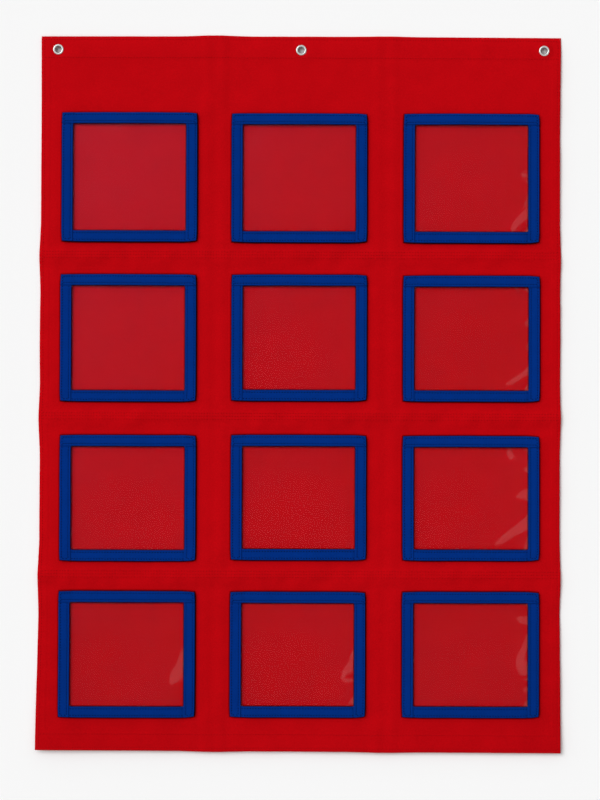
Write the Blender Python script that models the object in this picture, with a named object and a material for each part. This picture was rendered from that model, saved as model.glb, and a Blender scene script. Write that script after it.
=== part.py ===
"""Hanging pocket chart: a cloth back in four sewn rows, with clear pockets bound in tape.

Units are metres. +X is right, +Z is up and the pockets face -Y. The origin is on the axis of the
middle eyelet, in the plane where the chart touches the wall it hangs on. Depths are measured
forward from that wall, and heights downward from the chart's upper edge.
"""

import math

import bmesh
import bpy

# Cloth back
CLOTH_THICKNESS = 0.0007
SIDE_HEM_WIDTH = 0.0120
TOP_HEM_WIDTH = 0.0293
BOTTOM_HEM_WIDTH = 0.0223
HEM_STEP_RUN = 0.0004

# Rows, from the top: each has its own strip of cloth
ROW_NAMES = ("top", "second", "third", "bottom")
POCKET_HEIGHT = 0.1595
POCKET_HEIGHT_TRIMS = (0.0036, 0.0, -0.0019, -0.0013)
HEADER_HEIGHT = 0.0972
FOOTER_HEIGHT = 0.0436
MARGINS_ABOVE_SEAMS = (0.0199, 0.0230, 0.0213)
MARGINS_BELOW_SEAMS = (0.0221, 0.0208, 0.0183)

# Columns
COLUMN_COUNT = 3
POCKET_WIDTH = 0.1720
COLUMN_GAP = 0.0450
SIDE_MARGIN = 0.0270
MIDDLE_COLUMN_SHIFT = -0.0012

# Folds that stay in the hanging cloth
SEAM_RIDGE_HEIGHT = 0.0008
SEAM_RIDGE_REACH = 0.0160
CREASE_HEIGHT = 0.0006
CREASE_REACH_SHARE = 0.20
CREASE_SPACING_SHARE = 0.44
STEPS_PER_REACH = 3

# Pockets
TAPE_WIDTH = 0.0140
TAPE_THICKNESS = 0.0008
TAPE_FOLD_THICKNESS = 0.0012
TAPE_BACK_THICKNESS = 0.0005
TAPE_FOLD_RADIUS = 0.0006
TAPE_FOLD_STEPS = 3
CARD_ROOM = 0.0045
WINDOW_THICKNESS = 0.0003

# Eyelets
EYELET_INSET = 0.0215
EYELET_DROP = 0.0164
HOLE_RADIUS = 0.0041
BARREL_WALL = 0.0005
FLANGE_WIDTH = 0.0029
FLANGE_HEIGHT = 0.0011
WASHER_INSET = 0.0002
WASHER_THICKNESS = 0.0007
RIM_WIDTH = 0.0017
RIM_THICKNESS = 0.0005
ROUND_STEPS = 28
FLANGE_ARC_STEPS = 6
SMOOTH_ANGLE = math.radians(35)

# Fits
SEAT_GAP = 0.0003
SEAM_GAP = 0.0003
EYELET_CLEARANCE = 0.0003
CUT_OVERRUN = 0.0020

# Depths forward from the wall
WASHER_BACK = RIM_THICKNESS + SEAT_GAP
HEM_BACK = WASHER_BACK + WASHER_THICKNESS + SEAT_GAP
CLOTH_BACK = HEM_BACK + CLOTH_THICKNESS
CLOTH_FRONT = CLOTH_BACK + CLOTH_THICKNESS
TAPE_SEAT = CLOTH_FRONT + SEAT_GAP
MOUTH_BACK = CLOTH_FRONT + CARD_ROOM
WINDOW_SLOT = MOUTH_BACK + TAPE_BACK_THICKNESS
WINDOW_BACK = WINDOW_SLOT + SEAT_GAP
TAPE_BACK = WINDOW_BACK + WINDOW_THICKNESS + SEAT_GAP
TAPE_FRONT = TAPE_BACK + TAPE_THICKNESS

CHART_WIDTH = COLUMN_COUNT * POCKET_WIDTH + (COLUMN_COUNT - 1) * COLUMN_GAP + 2 * SIDE_MARGIN
CREASE_REACH = CREASE_REACH_SHARE * COLUMN_GAP
CREASE_SPACING = CREASE_SPACING_SHARE * COLUMN_GAP
ROW_COUNT = len(ROW_NAMES)
FLANGE_RADIUS = HOLE_RADIUS + FLANGE_WIDTH
WASHER_RADIUS = FLANGE_RADIUS - WASHER_INSET
RIM_RADIUS = HOLE_RADIUS + RIM_WIDTH

MATERIALS = {
    "cloth": ((0.477, 0.0024, 0.0052, 1.0), 0.0, 0.9, 1.0),
    "tape": ((0.0012, 0.0262, 0.1946, 1.0), 0.0, 0.8, 1.0),
    "vinyl": ((0.90, 0.92, 0.95, 1.0), 0.0, 0.15, 0.2),
    "nickel": ((0.78, 0.77, 0.74, 1.0), 1.0, 0.25, 1.0),
}


def clear_scene():
    for obj in list(bpy.data.objects):
        bpy.data.objects.remove(obj, do_unlink=True)


def make_material(name):
    colour, metallic, roughness, alpha = MATERIALS[name]
    material = bpy.data.materials.new(name)
    material.use_nodes = True
    shader = material.node_tree.nodes["Principled BSDF"]
    shader.inputs["Base Color"].default_value = colour
    shader.inputs["Metallic"].default_value = metallic
    shader.inputs["Roughness"].default_value = roughness
    shader.inputs["Alpha"].default_value = alpha
    material.diffuse_color = colour
    return material


def add_object(name, bm, material, parent=None, smooth=False):
    """Closes the edit mesh into a named object, with its faces turned outward."""
    bmesh.ops.recalc_face_normals(bm, faces=bm.faces)
    mesh = bpy.data.meshes.new(name)
    bm.to_mesh(mesh)
    bm.free()
    if smooth:
        mesh.shade_smooth()
        mesh.set_sharp_from_angle(angle=SMOOTH_ANGLE)
    mesh.materials.append(make_material(material))
    obj = bpy.data.objects.new(name, mesh)
    bpy.context.scene.collection.objects.link(obj)
    if parent is not None:
        obj.parent = parent
        obj.matrix_parent_inverse = parent.matrix_world.inverted()
    return obj


def add_axis(name, depth, height, parent=None):
    """An empty on a fold line, which carries the row below it."""
    empty = bpy.data.objects.new(name, None)
    empty.location = (0.0, -depth, height)
    bpy.context.scene.collection.objects.link(empty)
    bpy.context.view_layer.update()
    if parent is not None:
        empty.parent = parent
        empty.matrix_parent_inverse = parent.matrix_world.inverted()
        bpy.context.view_layer.update()
    return empty


def pocket_drop(row):
    """From a row's upper edge down to its pockets."""
    return MARGINS_BELOW_SEAMS[row - 1] if row else HEADER_HEIGHT


def pocket_height(row):
    return POCKET_HEIGHT + POCKET_HEIGHT_TRIMS[row]


def row_height(row):
    margin_below = (*MARGINS_ABOVE_SEAMS, FOOTER_HEIGHT)[row]
    return pocket_drop(row) + pocket_height(row) + margin_below


def row_top(row):
    """Place of a row's upper edge."""
    return EYELET_DROP - sum(row_height(above) for above in range(row))


def column_centres():
    """Middles of the columns, with the inner ones sewn a little off the even spacing."""
    first = SIDE_MARGIN + POCKET_WIDTH / 2 - CHART_WIDTH / 2
    centres = [first + column * (POCKET_WIDTH + COLUMN_GAP) for column in range(COLUMN_COUNT)]
    return [centres[0], *(centre + MIDDLE_COLUMN_SHIFT for centre in centres[1:-1]), centres[-1]]


def gap_centres():
    """The middles of the bare strips between neighbouring columns."""
    centres = column_centres()
    return [(left + right) / 2 for left, right in zip(centres, centres[1:])]


def bump(distance, reach):
    """A soft rise from 0 at the reach to 1 in the middle."""
    share = max(0.0, 1.0 - abs(distance) / reach)
    return share * share * (3.0 - 2.0 * share)


def seam_heights():
    return [row_top(row) for row in range(1, ROW_COUNT)]


def fold_relief(x, z):
    """How far the hanging cloth stands forward of its flat plane."""
    ridge = sum(bump(z - seam, SEAM_RIDGE_REACH) for seam in seam_heights())
    crease = 0.0
    for centre in gap_centres():
        for side in (-1, 1):
            crease += bump(x - centre - side * CREASE_SPACING / 2, CREASE_REACH)
    return SEAM_RIDGE_HEIGHT * ridge + CREASE_HEIGHT * crease * (1.0 - ridge)


def across_stations():
    """Places across the chart where the cloth needs points, and whether each is on a hem."""
    edge = CHART_WIDTH / 2
    hem = edge - SIDE_HEM_WIDTH
    creases = [centre + side * CREASE_SPACING / 2 for centre in gap_centres() for side in (-1, 1)]
    steps = [CREASE_REACH * step / STEPS_PER_REACH for step in range(-STEPS_PER_REACH, STEPS_PER_REACH + 1)]
    stations = [(-edge, True), (-hem, True), (-hem + HEM_STEP_RUN, False)]
    for x in sorted(crease + step for crease in creases for step in steps):
        if x - stations[-1][0] > HEM_STEP_RUN:
            stations.append((x, False))
    stations += [(hem - HEM_STEP_RUN, False), (hem, True), (edge, True)]
    return stations


def down_stations(row):
    """Heights down one row where the cloth needs points, and whether each is on a hem."""
    upper = row_top(row)
    lower = upper - row_height(row)
    if row == 0:
        hem = upper - TOP_HEM_WIDTH
        stations = [(upper, True), (hem, True), (hem - HEM_STEP_RUN, False)]
    else:
        stations = [(upper - drop, False) for drop in seam_steps()]
    if row == ROW_COUNT - 1:
        hem = lower + BOTTOM_HEM_WIDTH
        stations += [(hem + HEM_STEP_RUN, False), (hem, True), (lower, True)]
    else:
        stations += [(lower + rise, False) for rise in reversed(seam_steps())]
    return stations


def seam_steps():
    """Distances from a seam to the points that shape its ridge, from half the sewn gap outward."""
    further = [SEAM_RIDGE_REACH * step / STEPS_PER_REACH for step in range(1, STEPS_PER_REACH + 1)]
    return [SEAM_GAP / 2, *further]


def build_cloth(row, parent):
    """One row's strip: a sheet with its hems turned to the back, and the relief of its folds."""
    across = across_stations()
    down = down_stations(row)
    bm = bmesh.new()
    front = []
    back = []
    for z, on_end_hem in down:
        front.append([])
        back.append([])
        for x, on_side_hem in across:
            rise = fold_relief(x, z)
            behind = HEM_BACK if on_end_hem or on_side_hem else CLOTH_BACK
            front[-1].append(bm.verts.new((x, -CLOTH_FRONT - rise, z)))
            back[-1].append(bm.verts.new((x, -behind - rise, z)))
    for i in range(len(down) - 1):
        for j in range(len(across) - 1):
            for sheet in (front, back):
                bm.faces.new((sheet[i][j], sheet[i][j + 1], sheet[i + 1][j + 1], sheet[i + 1][j]))
    left = [[line[0] for line in sheet] for sheet in (front, back)]
    right = [[line[-1] for line in sheet] for sheet in (front, back)]
    for near, far in (left, right, (front[0], back[0]), (front[-1], back[-1])):
        for i in range(len(near) - 1):
            bm.faces.new((near[i], near[i + 1], far[i + 1], far[i]))
    return add_object(f"{ROW_NAMES[row]}_row_cloth", bm, "cloth", parent)


def folded_section(back_from, back_to):
    """Cross-section of tape folded over a sheet's edge, as (inward from the edge, depth) pairs.

    Points 0 to 3 are the layer behind the sheet, point 4 starts the layer in front, and the last
    two are the floor of the slot between them.
    """
    section = [(TAPE_WIDTH, back_to), (TAPE_WIDTH, back_from), (0.0, back_from), (0.0, back_to)]
    section.append((0.0, TAPE_BACK))
    for step in range(TAPE_FOLD_STEPS + 1):
        angle = math.pi / 2 * step / TAPE_FOLD_STEPS
        inward = TAPE_FOLD_RADIUS * (1.0 - math.cos(angle))
        section.append((inward, TAPE_FRONT - TAPE_FOLD_RADIUS * (1.0 - math.sin(angle))))
    section += [(TAPE_WIDTH, TAPE_FRONT), (TAPE_WIDTH, TAPE_BACK)]
    section += [(TAPE_FOLD_THICKNESS, TAPE_BACK), (TAPE_FOLD_THICKNESS, back_to)]
    return section


def sweep(bm, section, path):
    """Skins a section along a path of (corner, inward) pairs, and returns the two end rings."""
    rings = []
    for corner, inward in path:
        ring = []
        for offset, depth in section:
            x = corner[0] + inward[0] * offset
            z = corner[1] + inward[1] * offset
            ring.append(bm.verts.new((x, -depth, z)))
        rings.append(ring)
    for first, second in zip(rings, rings[1:]):
        for i in range(len(section)):
            j = (i + 1) % len(section)
            bm.faces.new((first[i], first[j], second[j], second[i]))
    return rings[0], rings[-1]


def cap_with_arm(bm, flat, near, shift):
    """Closes an end ring: flat over some of its points, and drawn out by a shift over the others."""
    bm.faces.new(flat)
    far = [bm.verts.new((vert.co.x + shift[0], vert.co.y, vert.co.z + shift[1])) for vert in near]
    for i in range(len(near)):
        j = (i + 1) % len(near)
        bm.faces.new((near[i], near[j], far[j], far[i]))
    bm.faces.new(far)


def build_edge_tape(name, left, right, top, bottom, parent):
    """Tape round a pocket's left, lower and right edge.

    Its back has become a wall down to the cloth, which reaches on up behind the mouth tape.
    """
    section = folded_section(TAPE_SEAT, MOUTH_BACK - SEAT_GAP)
    shoulder = top - TAPE_WIDTH - SEAT_GAP
    path = [
        ((left, shoulder), (1, 0)),
        ((left, bottom), (1, 1)),
        ((right, bottom), (-1, 1)),
        ((right, shoulder), (-1, 0)),
    ]
    bm = bmesh.new()
    for ring in sweep(bm, section, path):
        cap_with_arm(bm, ring[3:], ring[:4] + ring[-1:], (0.0, top - shoulder))
    return add_object(name, bm, "tape", parent)


def build_mouth_tape(name, left, right, top, parent):
    """Tape folded over a window's upper edge, whose front layer runs on over the side walls."""
    section = folded_section(MOUTH_BACK, WINDOW_SLOT)
    room = TAPE_WIDTH + SEAT_GAP
    path = [((left + room, top), (0, -1)), ((right - room, top), (0, -1))]
    bm = bmesh.new()
    for ring, side in zip(sweep(bm, section, path), (-1, 1)):
        cap_with_arm(bm, ring[:5] + ring[-2:], ring[4:-1], (side * room, 0.0))
    return add_object(name, bm, "tape", parent)


def build_window(name, left, right, top, bottom, parent):
    """Clear sheet, held in the slots of the two tapes."""
    inset = TAPE_FOLD_THICKNESS + SEAT_GAP
    width = right - left - 2 * inset
    height = top - bottom - 2 * inset
    middle = ((left + right) / 2, -WINDOW_BACK - WINDOW_THICKNESS / 2, (top + bottom) / 2)
    bm = bmesh.new()
    bmesh.ops.create_cube(bm, size=1.0)
    bmesh.ops.scale(bm, vec=(width, WINDOW_THICKNESS, height), verts=bm.verts)
    bmesh.ops.translate(bm, vec=middle, verts=bm.verts)
    return add_object(name, bm, "vinyl", parent)


def build_pocket(row, column, parent):
    left = column_centres()[column] - POCKET_WIDTH / 2
    right = left + POCKET_WIDTH
    top = row_top(row) - pocket_drop(row)
    bottom = top - pocket_height(row)
    place = f"r{row + 1}_c{column + 1}"
    build_window(f"window_{place}", left, right, top, bottom, parent)
    build_edge_tape(f"edge_tape_{place}", left, right, top, bottom, parent)
    build_mouth_tape(f"mouth_tape_{place}", left, right, top, parent)


def turn(name, profile, x, material, parent):
    """Turns a closed profile of (radius, depth) pairs about a level axis through an eyelet."""
    bm = bmesh.new()
    rings = []
    for step in range(ROUND_STEPS):
        angle = 2 * math.pi * step / ROUND_STEPS
        ring = []
        for radius, depth in profile:
            ring.append(bm.verts.new((x + radius * math.cos(angle), -depth, radius * math.sin(angle))))
        rings.append(ring)
    for step in range(ROUND_STEPS):
        first = rings[step]
        second = rings[(step + 1) % ROUND_STEPS]
        for i in range(len(profile)):
            j = (i + 1) % len(profile)
            bm.faces.new((first[i], first[j], second[j], second[i]))
    return add_object(name, bm, material, parent, smooth=True)


def eyelet_profile():
    """Domed flange in front, barrel through the hem, and the rim rolled out behind the washer."""
    barrel = HOLE_RADIUS + BARREL_WALL
    seat = CLOTH_FRONT + SEAT_GAP
    crown = (HOLE_RADIUS + FLANGE_RADIUS) / 2
    reach = (FLANGE_RADIUS - HOLE_RADIUS) / 2
    profile = [(HOLE_RADIUS, 0.0), (RIM_RADIUS, 0.0), (RIM_RADIUS, RIM_THICKNESS)]
    profile += [(barrel, RIM_THICKNESS), (barrel, seat)]
    for step in range(FLANGE_ARC_STEPS + 1):
        angle = math.pi * step / FLANGE_ARC_STEPS
        profile.append((crown + reach * math.cos(angle), seat + FLANGE_HEIGHT * math.sin(angle)))
    return profile


def washer_profile():
    inner = HOLE_RADIUS + BARREL_WALL + EYELET_CLEARANCE
    front = WASHER_BACK + WASHER_THICKNESS
    return [(inner, WASHER_BACK), (WASHER_RADIUS, WASHER_BACK), (WASHER_RADIUS, front), (inner, front)]


def cut_eyelet_hole(cloth, x):
    """Bores the hem for an eyelet's barrel."""
    length = CLOTH_FRONT + 2 * CUT_OVERRUN
    bm = bmesh.new()
    bmesh.ops.create_cone(
        bm,
        cap_ends=True,
        segments=ROUND_STEPS,
        radius1=HOLE_RADIUS + BARREL_WALL + EYELET_CLEARANCE,
        radius2=HOLE_RADIUS + BARREL_WALL + EYELET_CLEARANCE,
        depth=length,
    )
    cutter = add_object(f"{cloth.name}_cutter", bm, "cloth")
    cutter.rotation_euler = (math.pi / 2, 0.0, 0.0)
    cutter.location = (x, -CLOTH_FRONT / 2, 0.0)
    cutter.hide_render = True
    cutter.display_type = "WIRE"
    hole = cloth.modifiers.new("eyelet_hole", "BOOLEAN")
    hole.operation = "DIFFERENCE"
    hole.solver = "EXACT"
    hole.object = cutter


def build_eyelets(cloth, parent):
    spread = CHART_WIDTH / 2 - EYELET_INSET
    for side, x in (("left", -spread), ("middle", 0.0), ("right", spread)):
        cut_eyelet_hole(cloth, x)
        turn(f"eyelet_{side}", eyelet_profile(), x, "nickel", parent)
        turn(f"washer_{side}", washer_profile(), x, "nickel", parent)


def fold_depth(row):
    """Depth of the fold line above a row: odd seams close forward and even ones backward."""
    if row % 2:
        return CLOTH_FRONT + SEAM_RIDGE_HEIGHT
    return HEM_BACK


def build_chart():
    clear_scene()
    parent = add_axis("hang_point", 0.0, 0.0)
    for row in range(ROW_COUNT):
        if row > 0:
            parent = add_axis(f"{ROW_NAMES[row]}_row_fold", fold_depth(row), row_top(row), parent)
        cloth = build_cloth(row, parent)
        if row == 0:
            build_eyelets(cloth, parent)
        for column in range(COLUMN_COUNT):
            build_pocket(row, column, parent)


build_chart()
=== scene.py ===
"""Looks of the hanging pocket chart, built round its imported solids.

Units are metres. +X is right, +Z is up and the pockets face -Y, as in the solids. Depths and heights
above the cloth are measured forward, towards -Y.
"""

import math

import bpy
import numpy as np
from mathutils import Matrix, Vector


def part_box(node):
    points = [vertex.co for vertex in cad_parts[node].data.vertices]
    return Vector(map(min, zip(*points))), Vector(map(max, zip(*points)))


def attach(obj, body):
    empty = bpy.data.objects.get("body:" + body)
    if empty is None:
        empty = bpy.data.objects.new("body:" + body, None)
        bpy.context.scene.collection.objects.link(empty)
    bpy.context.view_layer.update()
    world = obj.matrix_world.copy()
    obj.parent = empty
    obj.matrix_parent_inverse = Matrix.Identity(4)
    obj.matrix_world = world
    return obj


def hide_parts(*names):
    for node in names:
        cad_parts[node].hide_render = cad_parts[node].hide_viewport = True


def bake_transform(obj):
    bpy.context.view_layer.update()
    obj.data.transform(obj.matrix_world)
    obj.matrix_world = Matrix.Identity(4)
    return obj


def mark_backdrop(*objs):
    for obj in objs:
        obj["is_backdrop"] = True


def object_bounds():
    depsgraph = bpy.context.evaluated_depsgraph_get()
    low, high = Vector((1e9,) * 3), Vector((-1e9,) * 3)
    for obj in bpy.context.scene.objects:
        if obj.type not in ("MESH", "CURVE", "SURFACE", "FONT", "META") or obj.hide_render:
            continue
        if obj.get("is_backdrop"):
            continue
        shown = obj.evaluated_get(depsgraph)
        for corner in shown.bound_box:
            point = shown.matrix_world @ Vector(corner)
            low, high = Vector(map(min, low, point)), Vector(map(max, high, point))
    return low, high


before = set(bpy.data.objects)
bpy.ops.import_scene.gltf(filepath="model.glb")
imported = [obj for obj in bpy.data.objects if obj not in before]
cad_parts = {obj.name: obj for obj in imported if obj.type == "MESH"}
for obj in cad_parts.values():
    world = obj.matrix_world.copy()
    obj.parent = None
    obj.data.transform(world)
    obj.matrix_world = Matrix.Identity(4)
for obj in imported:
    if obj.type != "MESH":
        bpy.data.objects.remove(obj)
cad_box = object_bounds()

# Camera, as the photograph was taken
CAMERA_DISTANCE = 3.0055
CAMERA_HEIGHT = -0.5032
CAMERA_PITCH = math.radians(1.123)
CAMERA_ROLL = math.radians(0.199)
FOCAL_LENGTH_PIXELS = 2371.5
PHOTO_HEIGHT_PIXELS = 800
SENSOR_WIDTH_MM = 36.0
CAMERA_CLIP = (0.05, 50.0)

# Layout, from the frame
ROW_NAMES = ("top", "second", "third", "bottom")
BODIES = [f"{name}_row" for name in ROW_NAMES]
CLOTHS = [f"{name}_row_cloth" for name in ROW_NAMES]
COLUMN_COUNT = 3
TOP_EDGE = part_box(CLOTHS[0])[1].z
BOTTOM_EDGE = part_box(CLOTHS[-1])[0].z
HALF_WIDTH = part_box(CLOTHS[0])[1].x
SEAMS = [(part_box(upper)[0].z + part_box(lower)[1].z) / 2 for upper, lower in zip(CLOTHS, CLOTHS[1:])]
COLUMN_BOXES = [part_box(f"edge_tape_r1_c{column + 1}") for column in range(COLUMN_COUNT)]
GAP_CENTRES = [(left[1].x + right[0].x) / 2 for left, right in zip(COLUMN_BOXES, COLUMN_BOXES[1:])]

# Cloth back
CLOTH_FRONT = 0.0032
CLOTH_THICKNESS = 0.0007
HEM_EXTRA = 0.0006
SIDE_HEM_WIDTH = 0.0120
TOP_HEM_WIDTH = 0.0293
BOTTOM_HEM_WIDTH = 0.0235
HEM_STEP_REACH = 0.0012
SEAM_ALLOWANCE = 0.0090
EDGE_ROLL = 0.0009
EDGE_STITCH_INSET = 0.0040
TOP_HEM_STITCH_DROP = 0.0268
BOTTOM_HEM_STITCH_RISE = 0.0212
SEAM_STITCH_RISES = (-0.0008, 0.0032, 0.0069)
SEAM_RIDGE_HEIGHT = 0.0013
SEAM_RIDGE_REACH = 0.0160
SEAM_PLATEAU_HEIGHT = 0.00020
SEAM_PUCKER_REACH = 0.0240
CREASE_HEIGHT = 0.0006
CREASE_REACH = 0.0090
CREASE_SPACING = 0.0200
STITCH_VALLEY_DEPTH = 0.00007
STITCH_VALLEY_REACH = 0.0016
CLOTH_PIECES = ("upper", "middle", "lower")
COARSE_STEP = 0.0045
FINE_STEP = 0.0008
CLOSEST = 0.0003
EDGE_MARK = 0.0032
HEM_MARK = 0.0016
SEAM_MARK = 0.0145
EYELET_MARK = 0.0080
SHARP_ANGLE = math.radians(38.0)
BLEND_REACH = 0.0120

# Outline of the cloth at its left and right edge: rest, swell at the seams, flare at top and bottom
EDGE_SHIFT_REACH = 0.0250
EDGE_REST_SHIFTS = {"left": -0.0006, "right": -0.0010}
EDGE_SEAM_SWELLS = {"left": 0.0018, "right": 0.0013}
EDGE_TOP_FLARES = {"left": 0.0004, "right": 0.0011}
EDGE_BOTTOM_FLARES = {"left": 0.0036, "right": 0.0014}
SEAM_SWELL_REACH = 0.0500
TOP_FLARE_REACH = 0.1200
BOTTOM_FLARE_REACH = 0.2300
TOP_BOW = 0.0012
TOP_BOW_LOSS = 0.7
TOP_CREASE_RISES = (0.0013, 0.0006)
BOTTOM_CREASE_DROPS = (0.0010, 0.0008)
CREASE_END_REACH = 0.0520
ROW_SWELL = 0.0008
ROW_SWELL_REACH = 0.0950
BOTTOM_TILT = 0.0010
END_SHIFT_REACH = 0.0400
BOTTOM_LIFTS = {"left": 0.0050, "middle": 0.0022, "right": 0.0038}
BOTTOM_LIFT_REACH = 0.1100
SIDE_DROOP = 0.0014
TOP_DROOP = 0.0018
DROOP_REACH = 0.0220
LOWEST_BACK = 0.0003
THINNEST_CLOTH = 0.0002

# Tape
TAPE_WIDTH = 0.0143
TAPE_THICKNESS = 0.0005
TAPE_RISE = 0.0042
TAPE_CROWN = 0.00022
TAPE_NOSE = 0.00085
OVERHANG = 0.0009
EDGE_SAGS = {"left": 0.0002, "right": 0.0, "bottom": 0.0, "mouth": 0.0016}
SAG_REACH = 0.0045
TAPE_EDGE_ROUND = 0.0007
LAP_RISE = 0.0003
LAP_DROP = 0.00045
LAP_REACH = 0.0035
LAP_CLEARANCE = 0.00003
TUCK = 0.0003
SEAT = 0.00012
FOLD_WIDTH = 0.0012
# Painted shade on the tape's edges: widths of its full strength at the outer folded edge and at the inner
# edge, and the share of the inner one left where this strip lies over another
OUTER_PAINTED_SHADE_WIDTH = 0.00010
INNER_PAINTED_SHADE_WIDTH = 0.00030
LAPPED_PAINTED_SHADE = 0.15
STITCH_ROWS = (0.0028, 0.0112)
TAPE_VALLEY_DEPTH = 0.00010
TAPE_RIM_HEIGHT = 0.00032
TAPE_RIM = 0.0012
TAPE_RIM_FALL = 0.0014
PUCKER_SHARE = 0.6
NOSE_SHARES = (0.0, 0.04, 0.15, 0.35, 0.65, 1.0)
VALLEY_SHARES = (-1.0, -0.4, 0.0, 0.4, 1.0)
CROWN_SHARES = (0.37, 0.50, 0.63)
ROUND_SHARES = (0.0, 0.3, 0.7, 1.0)
CORNER_REACH = 0.0210
LEFT_CORNER_REACH = 0.0260
LEFT_CORNER_POWER = 1.4
CORNER_DRAWS = {"top left": 0.0007, "top right": 0.0013, "bottom left": 0.0010, "bottom right": 0.0019}
CORNER_DRAW_SIDES = 0.0008
MOUTH_GAPE = 0.0022
GAPE_SPREAD = (0.8, 1.2)
GAPE_POWER = 1.5
POCKET_GROWTH = {"left": 0.0006, "right": -0.0001, "bottom": 0.0009, "top": 0.0002}
GROOVE_DEEP = 0.0016
GROOVE_SHALLOW = 0.0007
GROOVE_REACH = 0.0016
GROOVE_MARK = 0.0024
GROOVE_STEP = 0.0006
# Painted shade on the cloth beside each pocket: its strength on the right and below, on the left and above,
# and its reach
GROOVE_PAINTED_SHADE_DEEP = 1.0
GROOVE_PAINTED_SHADE_SHALLOW = 0.85
GROOVE_PAINTED_SHADE_REACH = 0.0017
REAR_ROWS = 60
REAR_COLUMNS = 12
PLACE_DIGITS = 6

# Window
WINDOW_LOW = 0.0028
WINDOW_THICKNESS = 0.0003
WINDOW_INSET = 0.0018
WINDOW_FINE_ZONE = 0.0440
WINDOW_FINE_STEP = 0.0008
WINDOW_COARSE_STEP = 0.0040
WINDOW_RISE_STEP = 0.0009
WINDOW_EDGE_STEP = 0.0004
WINDOW_EDGE_MARK = 0.0022
# Reach of the painted shadow on the window along the inside of its tapes
WINDOW_PAINTED_SHADOW_REACH = 0.0017
WINDOW_SWELL = 0.0016
WINDOW_SWELL_REACH = 0.0300
BUCKLE_SLOPE = 0.2
BUCKLE_HEIGHT = 0.0006
BUCKLE_HELD = 0.0012
BUCKLE_NORMAL = (-0.235, -1.0, 0.22)

# Buckled places of the windows: their outlines' corners, each as millimetres left of the window's right
# edge and then millimetres above its lower edge
MM = 0.001
BUCKLES = {
    "r1_c3": (
        (4.5, 134, 0, 133, 0, 129.5, 2.5, 131.5),
        (12.5, 125.5, 6, 124, -1, 121, -1, 119, 6, 121.5),
        (5.5, 114, -1, 111, -1, 107, 2.5, 110),
        (11, 73, 7.5, 76, -1, 73, -1, 70.5, 6, 69),
        (9.5, 70.5, 6, 67, -1, 65.5, -1, 62.5, 4.5, 64),
        (8, 76.5, 4.5, 79, -1, 80, -1, 79, 4, 77),
        (-1, 48, 2.5, 43, 7.5, 30, 4, 31.5, -1, 33),
        (-1, 31.5, 6, 28, 13, 20, 19.5, 11.5, 22, 4.5, 21, 0.5, 17, 0.5, 14, 6, 7.5, 12.5, -1, 18),
        (-1, 6.5, 3, 3.5, 6, -0.5, -1, -0.5),
    ),
    "r2_c3": (
        (18.5, 131, 15.5, 131, 10.5, 124, 3.5, 115.5, 7.5, 119, 14, 125),
        (6.5, 131, 3.5, 131, -1, 125.5, -1, 123.5, 3.5, 127),
        (2.5, 112, -1, 111.5, -1, 109),
        (-1, 91, 3.5, 88.5, 6, 85, 2, 80.5, -1, 79),
        (-1, 61.5, 3.5, 57.5, 4, 54.5, 2, 52, -1, 51),
        (-1, 33.5, 7.5, 25, 16, 18, 24.5, 12.5, 30, 7.5, 27, 6, 20, 8, 10.5, 14.5, -1, 20.5),
        (-1, 8.5, 3.5, 5.5, 6, -0.5, -1, -0.5),
    ),
    "r3_c3": (
        (24, 129, 26.5, 123, 26, 118.5, 23, 113, 19.5, 116, 17.5, 118.5, 19.5, 124.5, 22, 129),
        (17.5, 118.5, 10.5, 113.5, -1, 109, -1, 107.5, 9, 111.5, 18.5, 116.5),
        (6.5, 128, 2, 124.5, -1, 117.5, -1, 123, 3.5, 128),
        (-1, 106.5, 4.5, 104.5, 7, 102.5, 4.5, 98.5, -1, 96.5),
        (-1, 77.5, 8, 74.5, 12.5, 71, 16, 66.5, 9, 64.5, -1, 60.5),
        (-1, 46.5, 5, 40, 16, 31, 29, 21, 37.5, 14, 41.5, 7.5, 40, 6, 31.5, 7.5, 19, 16, 9, 21, -1, 25.5),
        (-1, 19, 2, 13, 6, 0, 2, 0, -1, 6),
    ),
    "r4_c3": (
        (3, 129.5, -1, 129.5, -1, 123),
        (13.5, 115, 7, 114, -1, 113.5, -1, 102, 7, 104, 14.5, 108, 15.5, 111.5),
        (
            -1, 93, 3.5, 87.5, 7.5, 76, 13.5, 65, 16.5, 56.5, 13.5, 48, 10.5, 42, 6.5, 38.5, -1, 40.5, -1, 53,
            3.5, 58.5, 3, 66.5, -1, 75,
        ),
        (-1, 37, 4, 35.5, 7, 33.5, -1, 32.5),
        (-1, 25.5, 5.5, 23, 8.5, 20, 4, 18.5, -1, 19.5),
        (-1, 10.5, 4, 6, 5.5, -0.5, -1, -0.5),
    ),
    "r4_c2": (
        (
            -1, 73.5, 4, 67.5, 8, 55, 15, 43.5, 16.5, 36, 13.5, 31, 8, 29.5, -0.5, 32, 1.5, 35, 8, 34, 11, 37,
            8, 41, 1.5, 43, 1.5, 56,
        ),
        (8, 21.5, 3.5, 23, -0.5, 22, 3.5, 20.5),
        (-0.5, 13.5, 4.5, 8, 7, 2.5, -0.5, 2.5),
    ),
    "r4_c1": (
        (-1, 76.5, 4.5, 68.5, 9.5, 53.5, 16, 43.5, 18.5, 34.5, 18, 28.5, 14.5, 26.5, 7, 31, -1, 41),
    ),
    "r2_c2": (
        (6.5, 109.5, 3, 110.5, -1, 109, -1, 107),
    ),
    "r1_c2": (
        (3, 92, -1, 92.5, -1, 90),
        (7.5, 120, -1, 119.5, -1, 117),
    ),
    "r3_c2": (
        (5, 54.5, -1.5, 55.5, -1.5, 53),
        (4.5, 46.5, -1.5, 45.5, -1.5, 43.5),
        (13, 6, 5, 10, 8, 5),
    ),
    "r3_c1": (
        (3.5, 44.5, -1.5, 45, -1.5, 42.5),
        (3, 27.5, -1.5, 29.5, -1.5, 25.5),
    ),
}

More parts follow.
